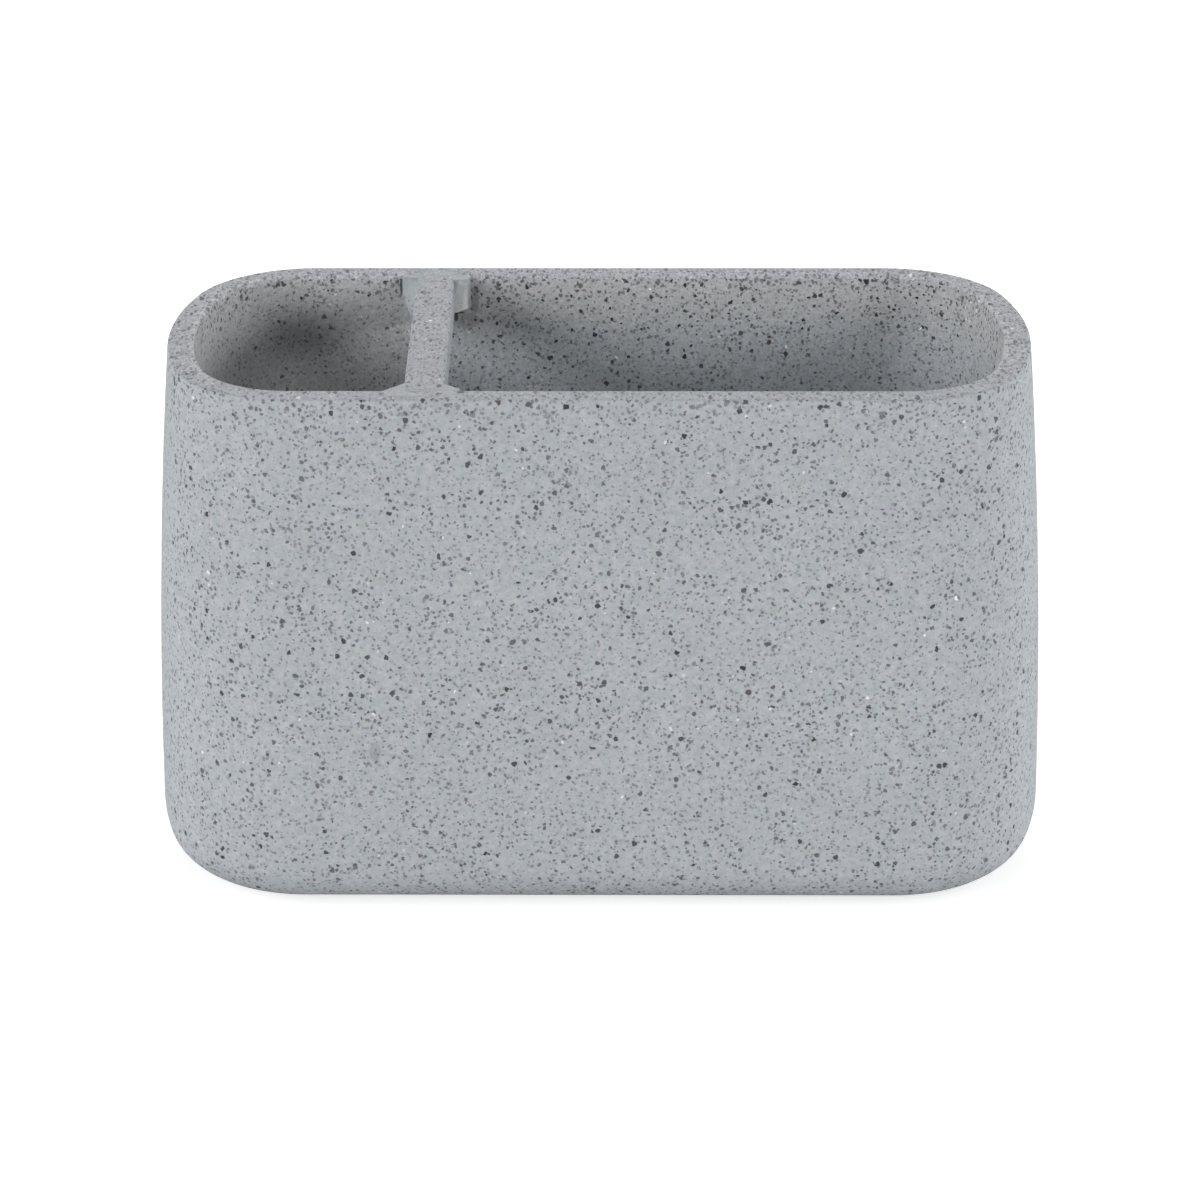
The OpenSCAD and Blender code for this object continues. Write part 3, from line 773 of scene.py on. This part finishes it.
def stone_grains(tree, look, place, drawn, at, colours, rim):
    """Lays the crushed grains over a look, the coarse ones first, and returns the new look"""
    # Grains are broken, so their outlines are bent and drawn out by about half their own size
    bend = add(tree, "ShaderNodeTexNoise", None,
               {"Vector": drawn, "Scale": 1 / (0.75 * MM), "Detail": 1.0})
    bend = add(tree, "ShaderNodeVectorMath", {"operation": "SUBTRACT"},
               {0: bend.outputs["Color"], 1: (0.5, 0.5, 0.5)})
    bend = add(tree, "ShaderNodeVectorMath", {"operation": "SCALE"},
               {0: bend, "Scale": 0.75 * MM})
    broken = add(tree, "ShaderNodeVectorMath", {"operation": "ADD"}, {0: drawn, 1: bend})
    # They lie unevenly: crowded in places and sparse in others
    crowd = add(tree, "ShaderNodeTexNoise", None,
                {"Vector": place, "Scale": 1 / (5 * MM), "Detail": 1.0})
    crowd = add(tree, "ShaderNodeMapRange", None,
                {"Value": crowd, "From Min": 0.3, "From Max": 0.7, "To Min": 0.82, "To Max": 1.1})
    # They are thickest at the rim, where the mould was filled, and more so inside it, partly as
    # painted shade in pits that the light grazes
    top = add(tree, "ShaderNodeMapRange", {"interpolation_type": "SMOOTHSTEP"},
              {"Value": at["height"], "From Min": rim - 5.5 * MM, "From Max": rim - 0.5 * MM})
    gather = add(tree, "ShaderNodeMapRange", None,
                 {"Value": at["inside"], "To Min": 0.16, "To Max": 0.26})
    gather = add(tree, "ShaderNodeMath", {"operation": "MULTIPLY_ADD"},
                 {0: at["rough"], 1: 0.08, 2: gather})
    gather = add(tree, "ShaderNodeMath", {"operation": "MULTIPLY_ADD"},
                 {0: gather, 1: top, 2: 1.0})
    crowd = add(tree, "ShaderNodeMath", {"operation": "MULTIPLY"}, {0: crowd, 1: gather})
    # Sanding dulls them on the front of the rim and on the bar, and shows more pale ones. Inside
    # they are drawn darker near the rim, partly as painted shade in pits that the light grazes, and
    # fade downwards, sooner in the narrow side
    dulled = add(tree, "ShaderNodeMapRange", None,
                 {"Value": at["sanded"], "To Min": 1.0, "To Max": 0.75})
    dulled = add(tree, "ShaderNodeMath", {"operation": "MULTIPLY_ADD"},
                 {0: at["rough"], 1: 0.07, 2: dulled})
    paler = add(tree, "ShaderNodeMapRange", None,
                {"Value": at["sanded"], "To Min": 0.0, "To Max": 0.045})
    fades_at, faintest, boldest = (
        add(tree, "ShaderNodeMapRange", None,
            {"Value": at["narrow"], "To Min": in_wide, "To Max": in_narrow})
        for in_wide, in_narrow in ((rim - 18 * MM, rim - 10 * MM), (0.98, 0.86), (1.45, 1.15)))
    grain_depth_and_pit_shade = add(tree, "ShaderNodeMapRange", {"interpolation_type": "SMOOTHSTEP"},
                {"Value": at["height"], "From Min": fades_at, "From Max": rim - 2 * MM,
                 "To Min": faintest, "To Max": boldest})
    grain_depth_and_pit_shade = add(tree, "ShaderNodeMix", {"data_type": "FLOAT"},
                {"Factor": at["inside"], "A": 1.0, "B": grain_depth_and_pit_shade})
    dulled = add(tree, "ShaderNodeMath", {"operation": "MULTIPLY"}, {0: dulled, 1: grain_depth_and_pit_shade})

    for spacing, smallest, largest, lean, palest, darkest, within in GRAINS:
        cells = add(tree, "ShaderNodeTexVoronoi", {"feature": "F1"},
                    {"Vector": broken, "Scale": 1 / spacing, "Randomness": 1.0})
        chance = add(tree, "ShaderNodeSeparateXYZ", None, {"Vector": cells.outputs["Color"]})
        large = add(tree, "ShaderNodeMath", {"operation": "POWER"},
                    {0: chance.outputs["X"], 1: lean})
        radius = add(tree, "ShaderNodeMapRange", None,
                     {"Value": large, "To Min": smallest / spacing, "To Max": largest / spacing})
        sized = add(tree, "ShaderNodeMapRange", None,
                    {"Value": at["inside"], "To Min": 1.0, "To Max": within})
        for share in (crowd, sized):
            radius = add(tree, "ShaderNodeMath", {"operation": "MULTIPLY"}, {0: radius, 1: share})
        core = add(tree, "ShaderNodeMath", {"operation": "MULTIPLY"}, {0: radius, 1: 0.72})
        amount = add(tree, "ShaderNodeMapRange", {"interpolation_type": "SMOOTHSTEP"},
                     {"Value": cells.outputs["Distance"], "From Min": radius, "From Max": core})
        # The largest grains are the darkest
        depth = add(tree, "ShaderNodeMath", {"operation": "MULTIPLY"},
                    {0: chance.outputs["Y"], 1: 0.75})
        depth = add(tree, "ShaderNodeMath", {"operation": "MAXIMUM"}, {0: depth, 1: large})
        depth = add(tree, "ShaderNodeMapRange", None,
                    {"Value": depth, "To Min": palest, "To Max": darkest})
        for share in (depth, dulled):
            amount = add(tree, "ShaderNodeMath", {"operation": "MULTIPLY"}, {0: amount, 1: share})
        kind = add(tree, "ShaderNodeMath", {"operation": "ADD"}, {0: chance.outputs["Z"], 1: paler})
        kind = add(tree, "ShaderNodeValToRGB", None, {"Fac": kind})
        kind.color_ramp.interpolation = "CONSTANT"
        kind.color_ramp.elements.remove(kind.color_ramp.elements[1])
        kind.color_ramp.elements[0].color = colours.charcoal
        for start, shade in ((0.55, colours.slate), (0.93, colours.umber), (0.989, colours.ivory)):
            kind.color_ramp.elements.new(start).color = shade
        look = add(tree, "ShaderNodeMix", {"data_type": "RGBA"},
                   {"Factor": amount, "A": look, "B": kind.outputs["Color"]})
    return look


def cast_stone(name, colours, rim, marks):
    """Resin filled with crushed stone, cast in a mould: a smooth matt grey skin with broken grains
    in and just under it. Where it was sanded, the grains are dulled by a paler, gritty bloom"""
    material, tree, shader = new_material(name, 0.72)
    place = add(tree, "ShaderNodeTexCoord").outputs["Object"]
    at = stone_zones(tree, place, rim)
    # Sanding went from front to back, and drew the grit and the opened grains out that way
    stretched = add(tree, "ShaderNodeMapping", None, {"Vector": place, "Scale": (1.2, 0.6, 1.0)})
    flat = add(tree, "ShaderNodeMath", {"operation": "GREATER_THAN"}, {0: at["sanded"], 1: 0.5})
    drawn = add(tree, "ShaderNodeMix", {"data_type": "VECTOR"},
                {"Factor": flat, "A": place, "B": stretched})
    look, level = stone_ground(tree, place, drawn, at, colours, rim)
    look = stone_grains(tree, look, place, drawn, at, colours, rim)
    # Painted shade inside the back wall, with soft edges
    look = marked(tree, look, place, level, colours, PAINTED_SHADE_PATCHES, 0.2)
    look = marked(tree, look, place, level, colours, marks)
    tree.links.new(look, shader.inputs["Base Color"])

    # The mould leaves a matt skin, and sanding a rougher one
    skin = add(tree, "ShaderNodeTexNoise", None,
               {"Vector": place, "Scale": 1 / (0.35 * MM), "Detail": 3.0, "Roughness": 0.6})
    bite = add(tree, "ShaderNodeMapRange", None,
               {"Value": at["sanded"], "To Min": 0.25, "To Max": 0.6})
    bump = add(tree, "ShaderNodeBump", None,
               {"Strength": bite, "Distance": 0.04 * MM, "Height": skin})
    tree.links.new(bump.outputs[0], shader.inputs["Normal"])
    return material


def bonding_resin(name, colours, rim, marks):
    """Polyester resin wiped on with a spatula: a soft satin face with faint upright smears, and
    no grains but the sanding dust that it caught lower down"""
    material, tree, shader = new_material(name, 0.55, 1.54)
    place = add(tree, "ShaderNodeTexCoord").outputs["Object"]
    along = add(tree, "ShaderNodeMapping", None, {"Vector": place, "Scale": (2.0, 2.0, 0.5)})
    smear = add(tree, "ShaderNodeTexNoise", None,
                {"Vector": along, "Scale": 1 / (1.6 * MM), "Detail": 4.0, "Roughness": 0.6})
    shade = add(tree, "ShaderNodeMapRange", None,
                {"Value": smear, "From Min": 0.3, "From Max": 0.7, "To Min": 0.90,
                 "To Max": 1.08})
    # Its top, sanded down with the rim, is drawn a little darker
    split = add(tree, "ShaderNodeSeparateXYZ", None, {"Vector": place})
    ground = add(tree, "ShaderNodeMapRange", None,
                 {"Value": split.outputs["Z"], "From Min": rim - 0.5 * MM,
                  "From Max": rim - 0.2 * MM, "To Min": 1.0, "To Max": 0.89})
    shade = add(tree, "ShaderNodeMath", {"operation": "MULTIPLY"}, {0: shade, 1: ground})
    hue = add(tree, "ShaderNodeVectorMath", {"operation": "MULTIPLY_ADD"},
              {0: smear.outputs["Color"], 1: (0.20, 0.12, 0.16), 2: (0.90, 0.94, 0.92)})
    look = add(tree, "ShaderNodeVectorMath", {"operation": "SCALE"},
               {0: colours.resin[:3], "Scale": shade})
    look = add(tree, "ShaderNodeVectorMath", {"operation": "MULTIPLY"}, {0: look, 1: hue})

    # Dust and the odd chip of grain, 0.45 mm across, from 3 mm below the rim
    low = add(tree, "ShaderNodeMapRange", {"interpolation_type": "SMOOTHSTEP"},
              {"Value": split.outputs["Z"], "From Min": rim - 2.6 * MM,
               "From Max": rim - 3.4 * MM})
    chips = add(tree, "ShaderNodeTexVoronoi", {"feature": "F1"},
                {"Vector": place, "Scale": 1 / (0.55 * MM), "Randomness": 1.0})
    chance = add(tree, "ShaderNodeSeparateXYZ", None, {"Vector": chips.outputs["Color"]})
    chip = add(tree, "ShaderNodeMapRange", {"interpolation_type": "SMOOTHSTEP"},
               {"Value": chips.outputs["Distance"], "From Min": 0.50, "From Max": 0.30})
    chip = add(tree, "ShaderNodeMath", {"operation": "MULTIPLY"}, {0: chip, 1: chance.outputs["X"]})
    chip = add(tree, "ShaderNodeMath", {"operation": "MULTIPLY"}, {0: chip, 1: low})
    chip = add(tree, "ShaderNodeMath", {"operation": "MULTIPLY"}, {0: chip, 1: 0.55})
    dusty = add(tree, "ShaderNodeMath", {"operation": "MULTIPLY"}, {0: low, 1: 0.6})
    look = add(tree, "ShaderNodeMix", {"data_type": "RGBA"},
               {"Factor": dusty, "A": look, "B": colours.dust})
    look = add(tree, "ShaderNodeMix", {"data_type": "RGBA"},
               {"Factor": chip, "A": look, "B": colours.slate})
    look = marked(tree, look, place, shade, colours, marks)
    tree.links.new(look, shader.inputs["Base Color"])
    bump = add(tree, "ShaderNodeBump", None,
               {"Strength": 0.4, "Distance": 0.06 * MM, "Height": smear})
    tree.links.new(bump.outputs[0], shader.inputs["Normal"])
    return material


def grip_foam(name, colours):
    """Closed-cell EVA foam, cut from sheet: dark, dull, with cut cells a third of a millimetre
    wide, drawn at 0.4 mm so that they show"""
    material, tree, shader = new_material(name, 0.9)
    place = add(tree, "ShaderNodeTexCoord").outputs["Object"]
    cells = add(tree, "ShaderNodeTexVoronoi", {"feature": "F1"},
                {"Vector": place, "Scale": 1 / (0.4 * MM), "Randomness": 1.0})
    shade = add(tree, "ShaderNodeMapRange", None,
                {"Value": cells.outputs["Distance"], "From Max": 0.7, "To Min": 0.72,
                 "To Max": 1.2})
    look = add(tree, "ShaderNodeVectorMath", {"operation": "SCALE"},
               {0: colours.foam[:3], "Scale": shade})
    tree.links.new(look.outputs[0], shader.inputs["Base Color"])
    bump = add(tree, "ShaderNodeBump", None,
               {"Strength": 0.6, "Distance": 0.1 * MM, "Height": cells.outputs["Distance"]})
    tree.links.new(bump.outputs[0], shader.inputs["Normal"])
    return material


def rim_level(s):
    """Height of the rim above what the holder stands on"""
    return s.pad_thickness - s.recess_depth + s.casting_height


def hand_over(piece, slot, *nodes):
    """The piece stands for these nodes of the model and rides on its one body"""
    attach(piece, BODY)
    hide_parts(*nodes)


class HOLDER_OT_vessel(bpy.types.Operator):
    """Makes the cast vessel"""
    bl_idname = "holder.vessel"
    bl_label = "Cast Vessel"

    def execute(self, context):
        s, c = context.scene.holder_sizes, context.scene.holder_colours
        stone = cast_stone("Cast Stone", c, rim_level(s), MARKS_AND_PAINTED_SHADING["vessel"])
        values = {label: getattr(s, label.lower().replace(" ", "_")) for label in VESSEL_SIZES}
        piece = grown("cast_vessel", vessel_tree(), {
            **values, "Stand": s.pad_thickness - s.recess_depth,
            "Recess Radius": s.pad_diameter / 2 + s.recess_gap, "Point Spacing": POINT_SPACING,
            "Seed": s.seed, "Material": stone})
        hand_over(piece, "cast_stone", "vessel")
        return {"FINISHED"}


class HOLDER_OT_cross_bar(bpy.types.Operator):
    """Makes the cross bar in the mouth"""
    bl_idname = "holder.cross_bar"
    bl_label = "Cross Bar"

    def execute(self, context):
        s, c = context.scene.holder_sizes, context.scene.holder_colours
        rim = rim_level(s)
        stone = cast_stone("Sanded Stone", c, rim, MARKS_AND_PAINTED_SHADING["bar"])
        lean = s.bar_height * math.tan(s.bar_lean)
        piece = grown("cross_bar_stone", bar_tree(), {
            "Length": s.rim_depth - 2 * s.wall_thickness - 2 * s.bed,
            "Top Width": s.bar_width - lean, "Base Width": s.bar_width + lean,
            "Height": s.bar_height, "Edge Radius": s.bar_edge, "Offset": s.bar_left,
            "Skew": s.bar_skew, "Rim Height": rim, "Unevenness": s.unevenness,
            "Chip Depth": s.chip_depth, "Seed": s.seed, "Material": stone})
        hand_over(piece, "bar_stone", "cross_bar")
        return {"FINISHED"}


# Resin at each end of the bar, left wing then right as seen from the front, in mm: how far it
# reaches along the wall, how far out from the wall it stands beside the bar and at its tip, each
# at the top and at the foot, how deep the tip and the foot hang, how late along its reach the
# face turns to the wall, and how sharply (below 1 it ends in a round shoulder, above 1 it is
# hollow)
RESIN_WINGS = {
    "bond_back": ({"reach": 2.35, "flare": (1.3, 5.6), "tip": (0.9, 1.6), "hang": (3.3, 7.6),
                   "turn": 1.0, "hollow": 1.3},
                  {"reach": 2.65, "flare": (2.3, 4.6), "tip": (1.3, 2.6), "hang": (4.9, 5.0),
                   "turn": 3.5, "hollow": 0.55}),
    "bond_front": ({"reach": 3.00, "flare": (3.3, 3.0), "tip": (0.2, 0.3), "hang": (3.2, 5.5),
                    "turn": 1.0, "hollow": 1.1},
                   {"reach": 2.45, "flare": (2.9, 2.9), "tip": (0.8, 0.9), "hang": (4.0, 5.5),
                    "turn": 1.0, "hollow": 1.0}),
}

# The resin blocks: how finely they are drawn, how far they run on unseen into the wall, the bar's
# side and the bar's end, how far their face swells at the bar, the least reach of a foot, and how
# far their top lies below the rim
RESIN_LAYERS, WING_POINTS = 12, 14
INTO_WALL, INTO_SIDE, INTO_END = 0.3 * MM, 0.5 * MM, 0.1 * MM
SWELL_AT_BAR, LEAST_REACH, BELOW_RIM = 0.05 * MM, 0.25 * MM, 0.02 * MM

# Their finish: the size of the faces and how often the edges are eased, then the width of the
# ripples, their height in mm, the share of it at the rim, and the depth at which that is 1 more
RESIN_FACE, RESIN_ROUNDS = 0.13 * MM, 4
RIPPLE_WIDTH, RIPPLE_HEIGHT, RIPPLE_LEAST, RIPPLE_DEPTH = 0.9 * MM, 0.07, 0.3, 4 * MM


def resin_mesh(name, s, wings, at_back):
    """Closed mesh of the resin round one end of the bar, in layers from the rim down"""
    way = 1 if at_back else -1
    half, mouth = s.bar_width / 2, s.rim_depth / 2 - s.wall_thickness
    shell = bmesh.new()
    rings = []
    for k in range(RESIN_LAYERS + 1):
        ring = []
        share = k / RESIN_LAYERS
        for side, wing in zip((-1, 1), wings):
            flare, tip = (MM * (top + (foot - top) * share)
                          for top, foot in (wing["flare"], wing["tip"]))
            hang, foot = (v * MM for v in wing["hang"])
            reach, depth = wing["reach"] * MM, foot * share
            wall = mouth - depth * math.tan(s.draft)
            wide = LEAST_REACH + (reach - LEAST_REACH) * min(1.0, (foot - depth) / (foot - hang))
            lip = s.edge_radius * max(0.0, 1 - depth / s.edge_radius)
            points = [(half + wide, wall + lip + INTO_WALL)]
            for i in range(WING_POINTS + 1):
                along = half + wide * (1 - i / WING_POINTS)
                near = max(0.0, 1 - ((along - half) / reach) ** wing["turn"])
                points.append((along, wall - tip - (flare - tip) * near ** wing["hollow"]))
            points.append((half - INTO_SIDE, wall - flare - SWELL_AT_BAR))
            points.append((half - INTO_SIDE, mouth - s.bed - INTO_END))
            # The right wing is drawn back from the bar, so that the ring runs on
            ring += [(side * x, way * y, -depth) for x, y in points[::-side]]
        rings.append([shell.verts.new(v) for v in ring])
    count = len(rings[0])
    for upper, lower in zip(rings, rings[1:]):
        for i in range(count):
            j = (i + 1) % count
            shell.faces.new((upper[i], upper[j], lower[j], lower[i]))
    shell.faces.new(rings[0][::-1])
    shell.faces.new(rings[-1])
    bmesh.ops.recalc_face_normals(shell, faces=shell.faces[:])
    mesh = bpy.data.meshes.new(name)
    shell.to_mesh(mesh)
    shell.free()
    mesh.transform(Matrix.Translation((-s.bar_left, 0, rim_level(s) - BELOW_RIM))
                   @ Matrix.Rotation(s.bar_skew, 4, "Z"))
    return mesh


def softened(piece):
    """Remeshes a coarse block finely and eases its edges, as resin does before it sets"""
    remesh = piece.modifiers.new("Fine", "REMESH")
    remesh.mode = "VOXEL"
    remesh.voxel_size = RESIN_FACE
    remesh.use_smooth_shade = True
    ease = piece.modifiers.new("Ease", "SMOOTH")
    ease.factor = 0.5
    ease.iterations = RESIN_ROUNDS
    graph = bpy.context.evaluated_depsgraph_get()
    mesh = bpy.data.meshes.new_from_object(piece.evaluated_get(graph))
    piece.modifiers.clear()
    piece.data = mesh
    return mesh


class HOLDER_OT_bonding(bpy.types.Operator):
    """Makes the bonding resin round both ends of the bar"""
    bl_idname = "holder.bonding"
    bl_label = "Bonding Resin"

    def execute(self, context):
        s, c = context.scene.holder_sizes, context.scene.holder_colours
        rim = rim_level(s)
        resin = bonding_resin("Bonding Resin", c, rim, MARKS_AND_PAINTED_SHADING["resin"])
        for node, wings in RESIN_WINGS.items():
            mesh = resin_mesh(node + "_block", s, wings, node == "bond_back")
            piece = bpy.data.objects.new(node + "_resin", mesh)
            context.scene.collection.objects.link(piece)
            mesh = softened(piece)
            for v in mesh.vertices:
                ripple = noise.noise_vector(v.co / RIPPLE_WIDTH) * RIPPLE_HEIGHT * MM
                lower = min(1.0, max(0.0, (rim - v.co.z) / RIPPLE_DEPTH))
                v.co += ripple * (RIPPLE_LEAST + lower)
                v.co.z = min(v.co.z, rim - BELOW_RIM)
            mesh.name = piece.name
            mesh.materials.clear()
            mesh.materials.append(resin)
            hand_over(piece, "bonding_resin", node)
        return {"FINISHED"}


# How far the sides of the pads bulge under the load
PAD_BULGE = 0.2 * MM


class HOLDER_OT_grip_pads(bpy.types.Operator):
    """Makes the four foam pads under the base"""
    bl_idname = "holder.grip_pads"
    bl_label = "Grip Pads"

    def execute(self, context):
        s, c = context.scene.holder_sizes, context.scene.holder_colours
        piece = grown("grip_pads", pads_tree(), {
            "Radius": s.pad_diameter / 2, "Thickness": s.pad_thickness, "Bulge": PAD_BULGE,
            "Span X": s.rim_width - 2 * s.pad_inset_x, "Span Y": s.rim_depth - 2 * s.pad_inset_y,
            "Material": grip_foam("Grip Foam", c)})
        hand_over(piece, "grip_foam", "pad_front_left", "pad_front_right", "pad_back_left",
                  "pad_back_right")
        return {"FINISHED"}


# Soft boxes: name, azimuth and elevation as seen from the holder, width of the square box, and
# its power. All stand low, as round a shooting table, so that the inside stays darker
LAMPS = (
    ("left_front_box", -48, 16, 0.5, 6.6),
    ("right_front_box", 48, 8, 0.5, 6.5),
    ("left_side_box", -72, 24, 0.5, 4.4),
    ("right_side_box", 72, 24, 0.5, 3.3),
    ("right_back_box", 120, 12, 1.0, 6.0),
    ("left_back_box", -120, 12, 1.0, 2.8),
    ("back_box", 180, 40, 1.0, 8.5),
)
LAMP_DISTANCE = 1.2

# Floor: half its width, how far it lies below the pads, how strongly it glows near the holder, and
# between which distances that grows to 1. The world lights the holder only weakly
FLOOR_HALF, FLOOR_DROP = 3, 0.02 * MM
LIFT_NEAR, LIFT_FROM, LIFT_TO = 0.63, 0.3, 0.9
WORLD_LIGHT = 0.03
WHITE = (1, 1, 1, 1)

# Camera, fitted to the outline of the holder in the photograph: the picture's width, the focal
# length and the lens shift in pixels, the sensor's width in mm, the height of the point that it
# looks at, its distance from there, and its angles
PICTURE, FOCAL, SHIFT, SENSOR = 1200, 3701.5, (0.3, -23.5), 36
AIM_HEIGHT, DISTANCE = 42.75 * MM, 0.6003
ELEVATION, ROLL, YAW = 23.23 * DEGREE, 0.156 * DEGREE, -0.533 * DEGREE


class HOLDER_OT_studio(bpy.types.Operator):
    """Makes the floor, the lamps and the camera"""
    bl_idname = "holder.studio"
    bl_label = "Studio"

    def execute(self, context):
        scene, c = context.scene, context.scene.holder_colours
        scene.view_settings.view_transform = "Standard"

        sheet = bpy.data.meshes.new("floor")
        sheet.from_pydata([(x * FLOOR_HALF, y * FLOOR_HALF, -FLOOR_DROP)
                           for x, y in ((-1, -1), (1, -1), (1, 1), (-1, 1))], [], [(0, 1, 2, 3)])
        floor = bpy.data.objects.new("floor", sheet)
        scene.collection.objects.link(floor)
        material, tree, shader = new_material("Backdrop Paper", 0.9)
        shader.inputs["Base Color"].default_value = c.floor
        shader.inputs["Specular IOR Level"].default_value = 0.1
        # Paper that reads as white to the camera, and keeps the holder's shadow. It is lifted
        # more where the lamps no longer reach it
        path = add(tree, "ShaderNodeLightPath")
        place = add(tree, "ShaderNodeTexCoord").outputs["Object"]
        far = add(tree, "ShaderNodeVectorMath", {"operation": "LENGTH"}, {0: place})
        lift = add(tree, "ShaderNodeMapRange", None,
                   {"Value": far, "From Min": LIFT_FROM, "From Max": LIFT_TO,
                    "To Min": LIFT_NEAR})
        lift = add(tree, "ShaderNodeMath", {"operation": "MULTIPLY"},
                   {0: path.outputs["Is Camera Ray"], 1: lift})
        shader.inputs["Emission Color"].default_value = WHITE
        tree.links.new(lift.outputs[0], shader.inputs["Emission Strength"])
        sheet.materials.append(material)

        world = bpy.data.worlds.new("Studio")
        world.use_nodes = True
        tree = world.node_tree
        tree.nodes.clear()
        path = add(tree, "ShaderNodeLightPath")
        plain = add(tree, "ShaderNodeBackground", None, {"Color": WHITE, "Strength": WORLD_LIGHT})
        seen = add(tree, "ShaderNodeBackground", None, {"Color": WHITE, "Strength": 1.0})
        mixed = add(tree, "ShaderNodeMixShader", None,
                    {0: path.outputs["Is Camera Ray"], 1: plain, 2: seen})
        add(tree, "ShaderNodeOutputWorld", None, {"Surface": mixed})
        scene.world = world

        middle = Vector((0, 0, (CAD_LOW.z + CAD_HIGH.z) / 2))
        for name, azimuth, elevation, width, power in LAMPS:
            lamp = bpy.data.lights.new(name, "AREA")
            lamp.shape, lamp.size, lamp.energy = "SQUARE", width, power
            a, e = math.radians(azimuth), math.radians(elevation)
            way = Vector((math.sin(a) * math.cos(e), -math.cos(a) * math.cos(e), math.sin(e)))
            body = bpy.data.objects.new(name, lamp)
            body.location = middle + way * LAMP_DISTANCE
            body.rotation_euler = (-way).to_track_quat("-Z", "Y").to_euler()
            scene.collection.objects.link(body)

        forward = Vector((0, math.cos(ELEVATION), -math.sin(ELEVATION)))
        up = Vector((0, math.sin(ELEVATION), math.cos(ELEVATION)))
        right = Vector((1, 0, 0))
        turned = Matrix.Rotation(-YAW, 3, "Z")
        across = turned @ (right * math.cos(ROLL) - up * math.sin(ROLL))
        upward = turned @ (right * math.sin(ROLL) + up * math.cos(ROLL))
        forward = turned @ forward
        data = bpy.data.cameras.new("camera")
        data.sensor_width, data.lens = SENSOR, FOCAL * SENSOR / PICTURE
        data.shift_x, data.shift_y = (v / PICTURE for v in SHIFT)
        camera = bpy.data.objects.new("camera", data)
        turn = Matrix((across, upward, -forward)).transposed()
        place = Vector((0, 0, AIM_HEIGHT)) - forward * DISTANCE
        camera.matrix_world = Matrix.Translation(place) @ turn.to_4x4()
        scene.collection.objects.link(camera)
        scene.camera = camera
        return {"FINISHED"}


class HOLDER_PT_sidebar(bpy.types.Panel):
    """Sizes, colours and pieces of the holder"""
    bl_idname = "HOLDER_PT_sidebar"
    bl_label = "Toothbrush Holder"
    bl_space_type = "VIEW_3D"
    bl_region_type = "UI"
    bl_category = "Holder"

    def draw(self, context):
        for group in (context.scene.holder_sizes, context.scene.holder_colours):
            box = self.layout.box()
            for name in group.bl_rna.properties.keys():
                if name not in ("rna_type", "name"):
                    box.prop(group, name)
        for operator in OPERATORS:
            self.layout.operator(operator.bl_idname)


OPERATORS = (HOLDER_OT_vessel, HOLDER_OT_cross_bar, HOLDER_OT_bonding, HOLDER_OT_grip_pads,
             HOLDER_OT_studio)
CLASSES = (HolderSizes, HolderColours, *OPERATORS, HOLDER_PT_sidebar)


def register():
    for cls in CLASSES:
        bpy.utils.register_class(cls)
    bpy.types.Scene.holder_sizes = PointerProperty(type=HolderSizes)
    bpy.types.Scene.holder_colours = PointerProperty(type=HolderColours)


def unregister():
    del bpy.types.Scene.holder_colours
    del bpy.types.Scene.holder_sizes
    for cls in reversed(CLASSES):
        bpy.utils.unregister_class(cls)


def main():
    register()
    bpy.ops.holder.vessel()
    bpy.ops.holder.cross_bar()
    bpy.ops.holder.bonding()
    bpy.ops.holder.grip_pads()
    bpy.ops.holder.studio()


if __name__ == "__main__":
    main()
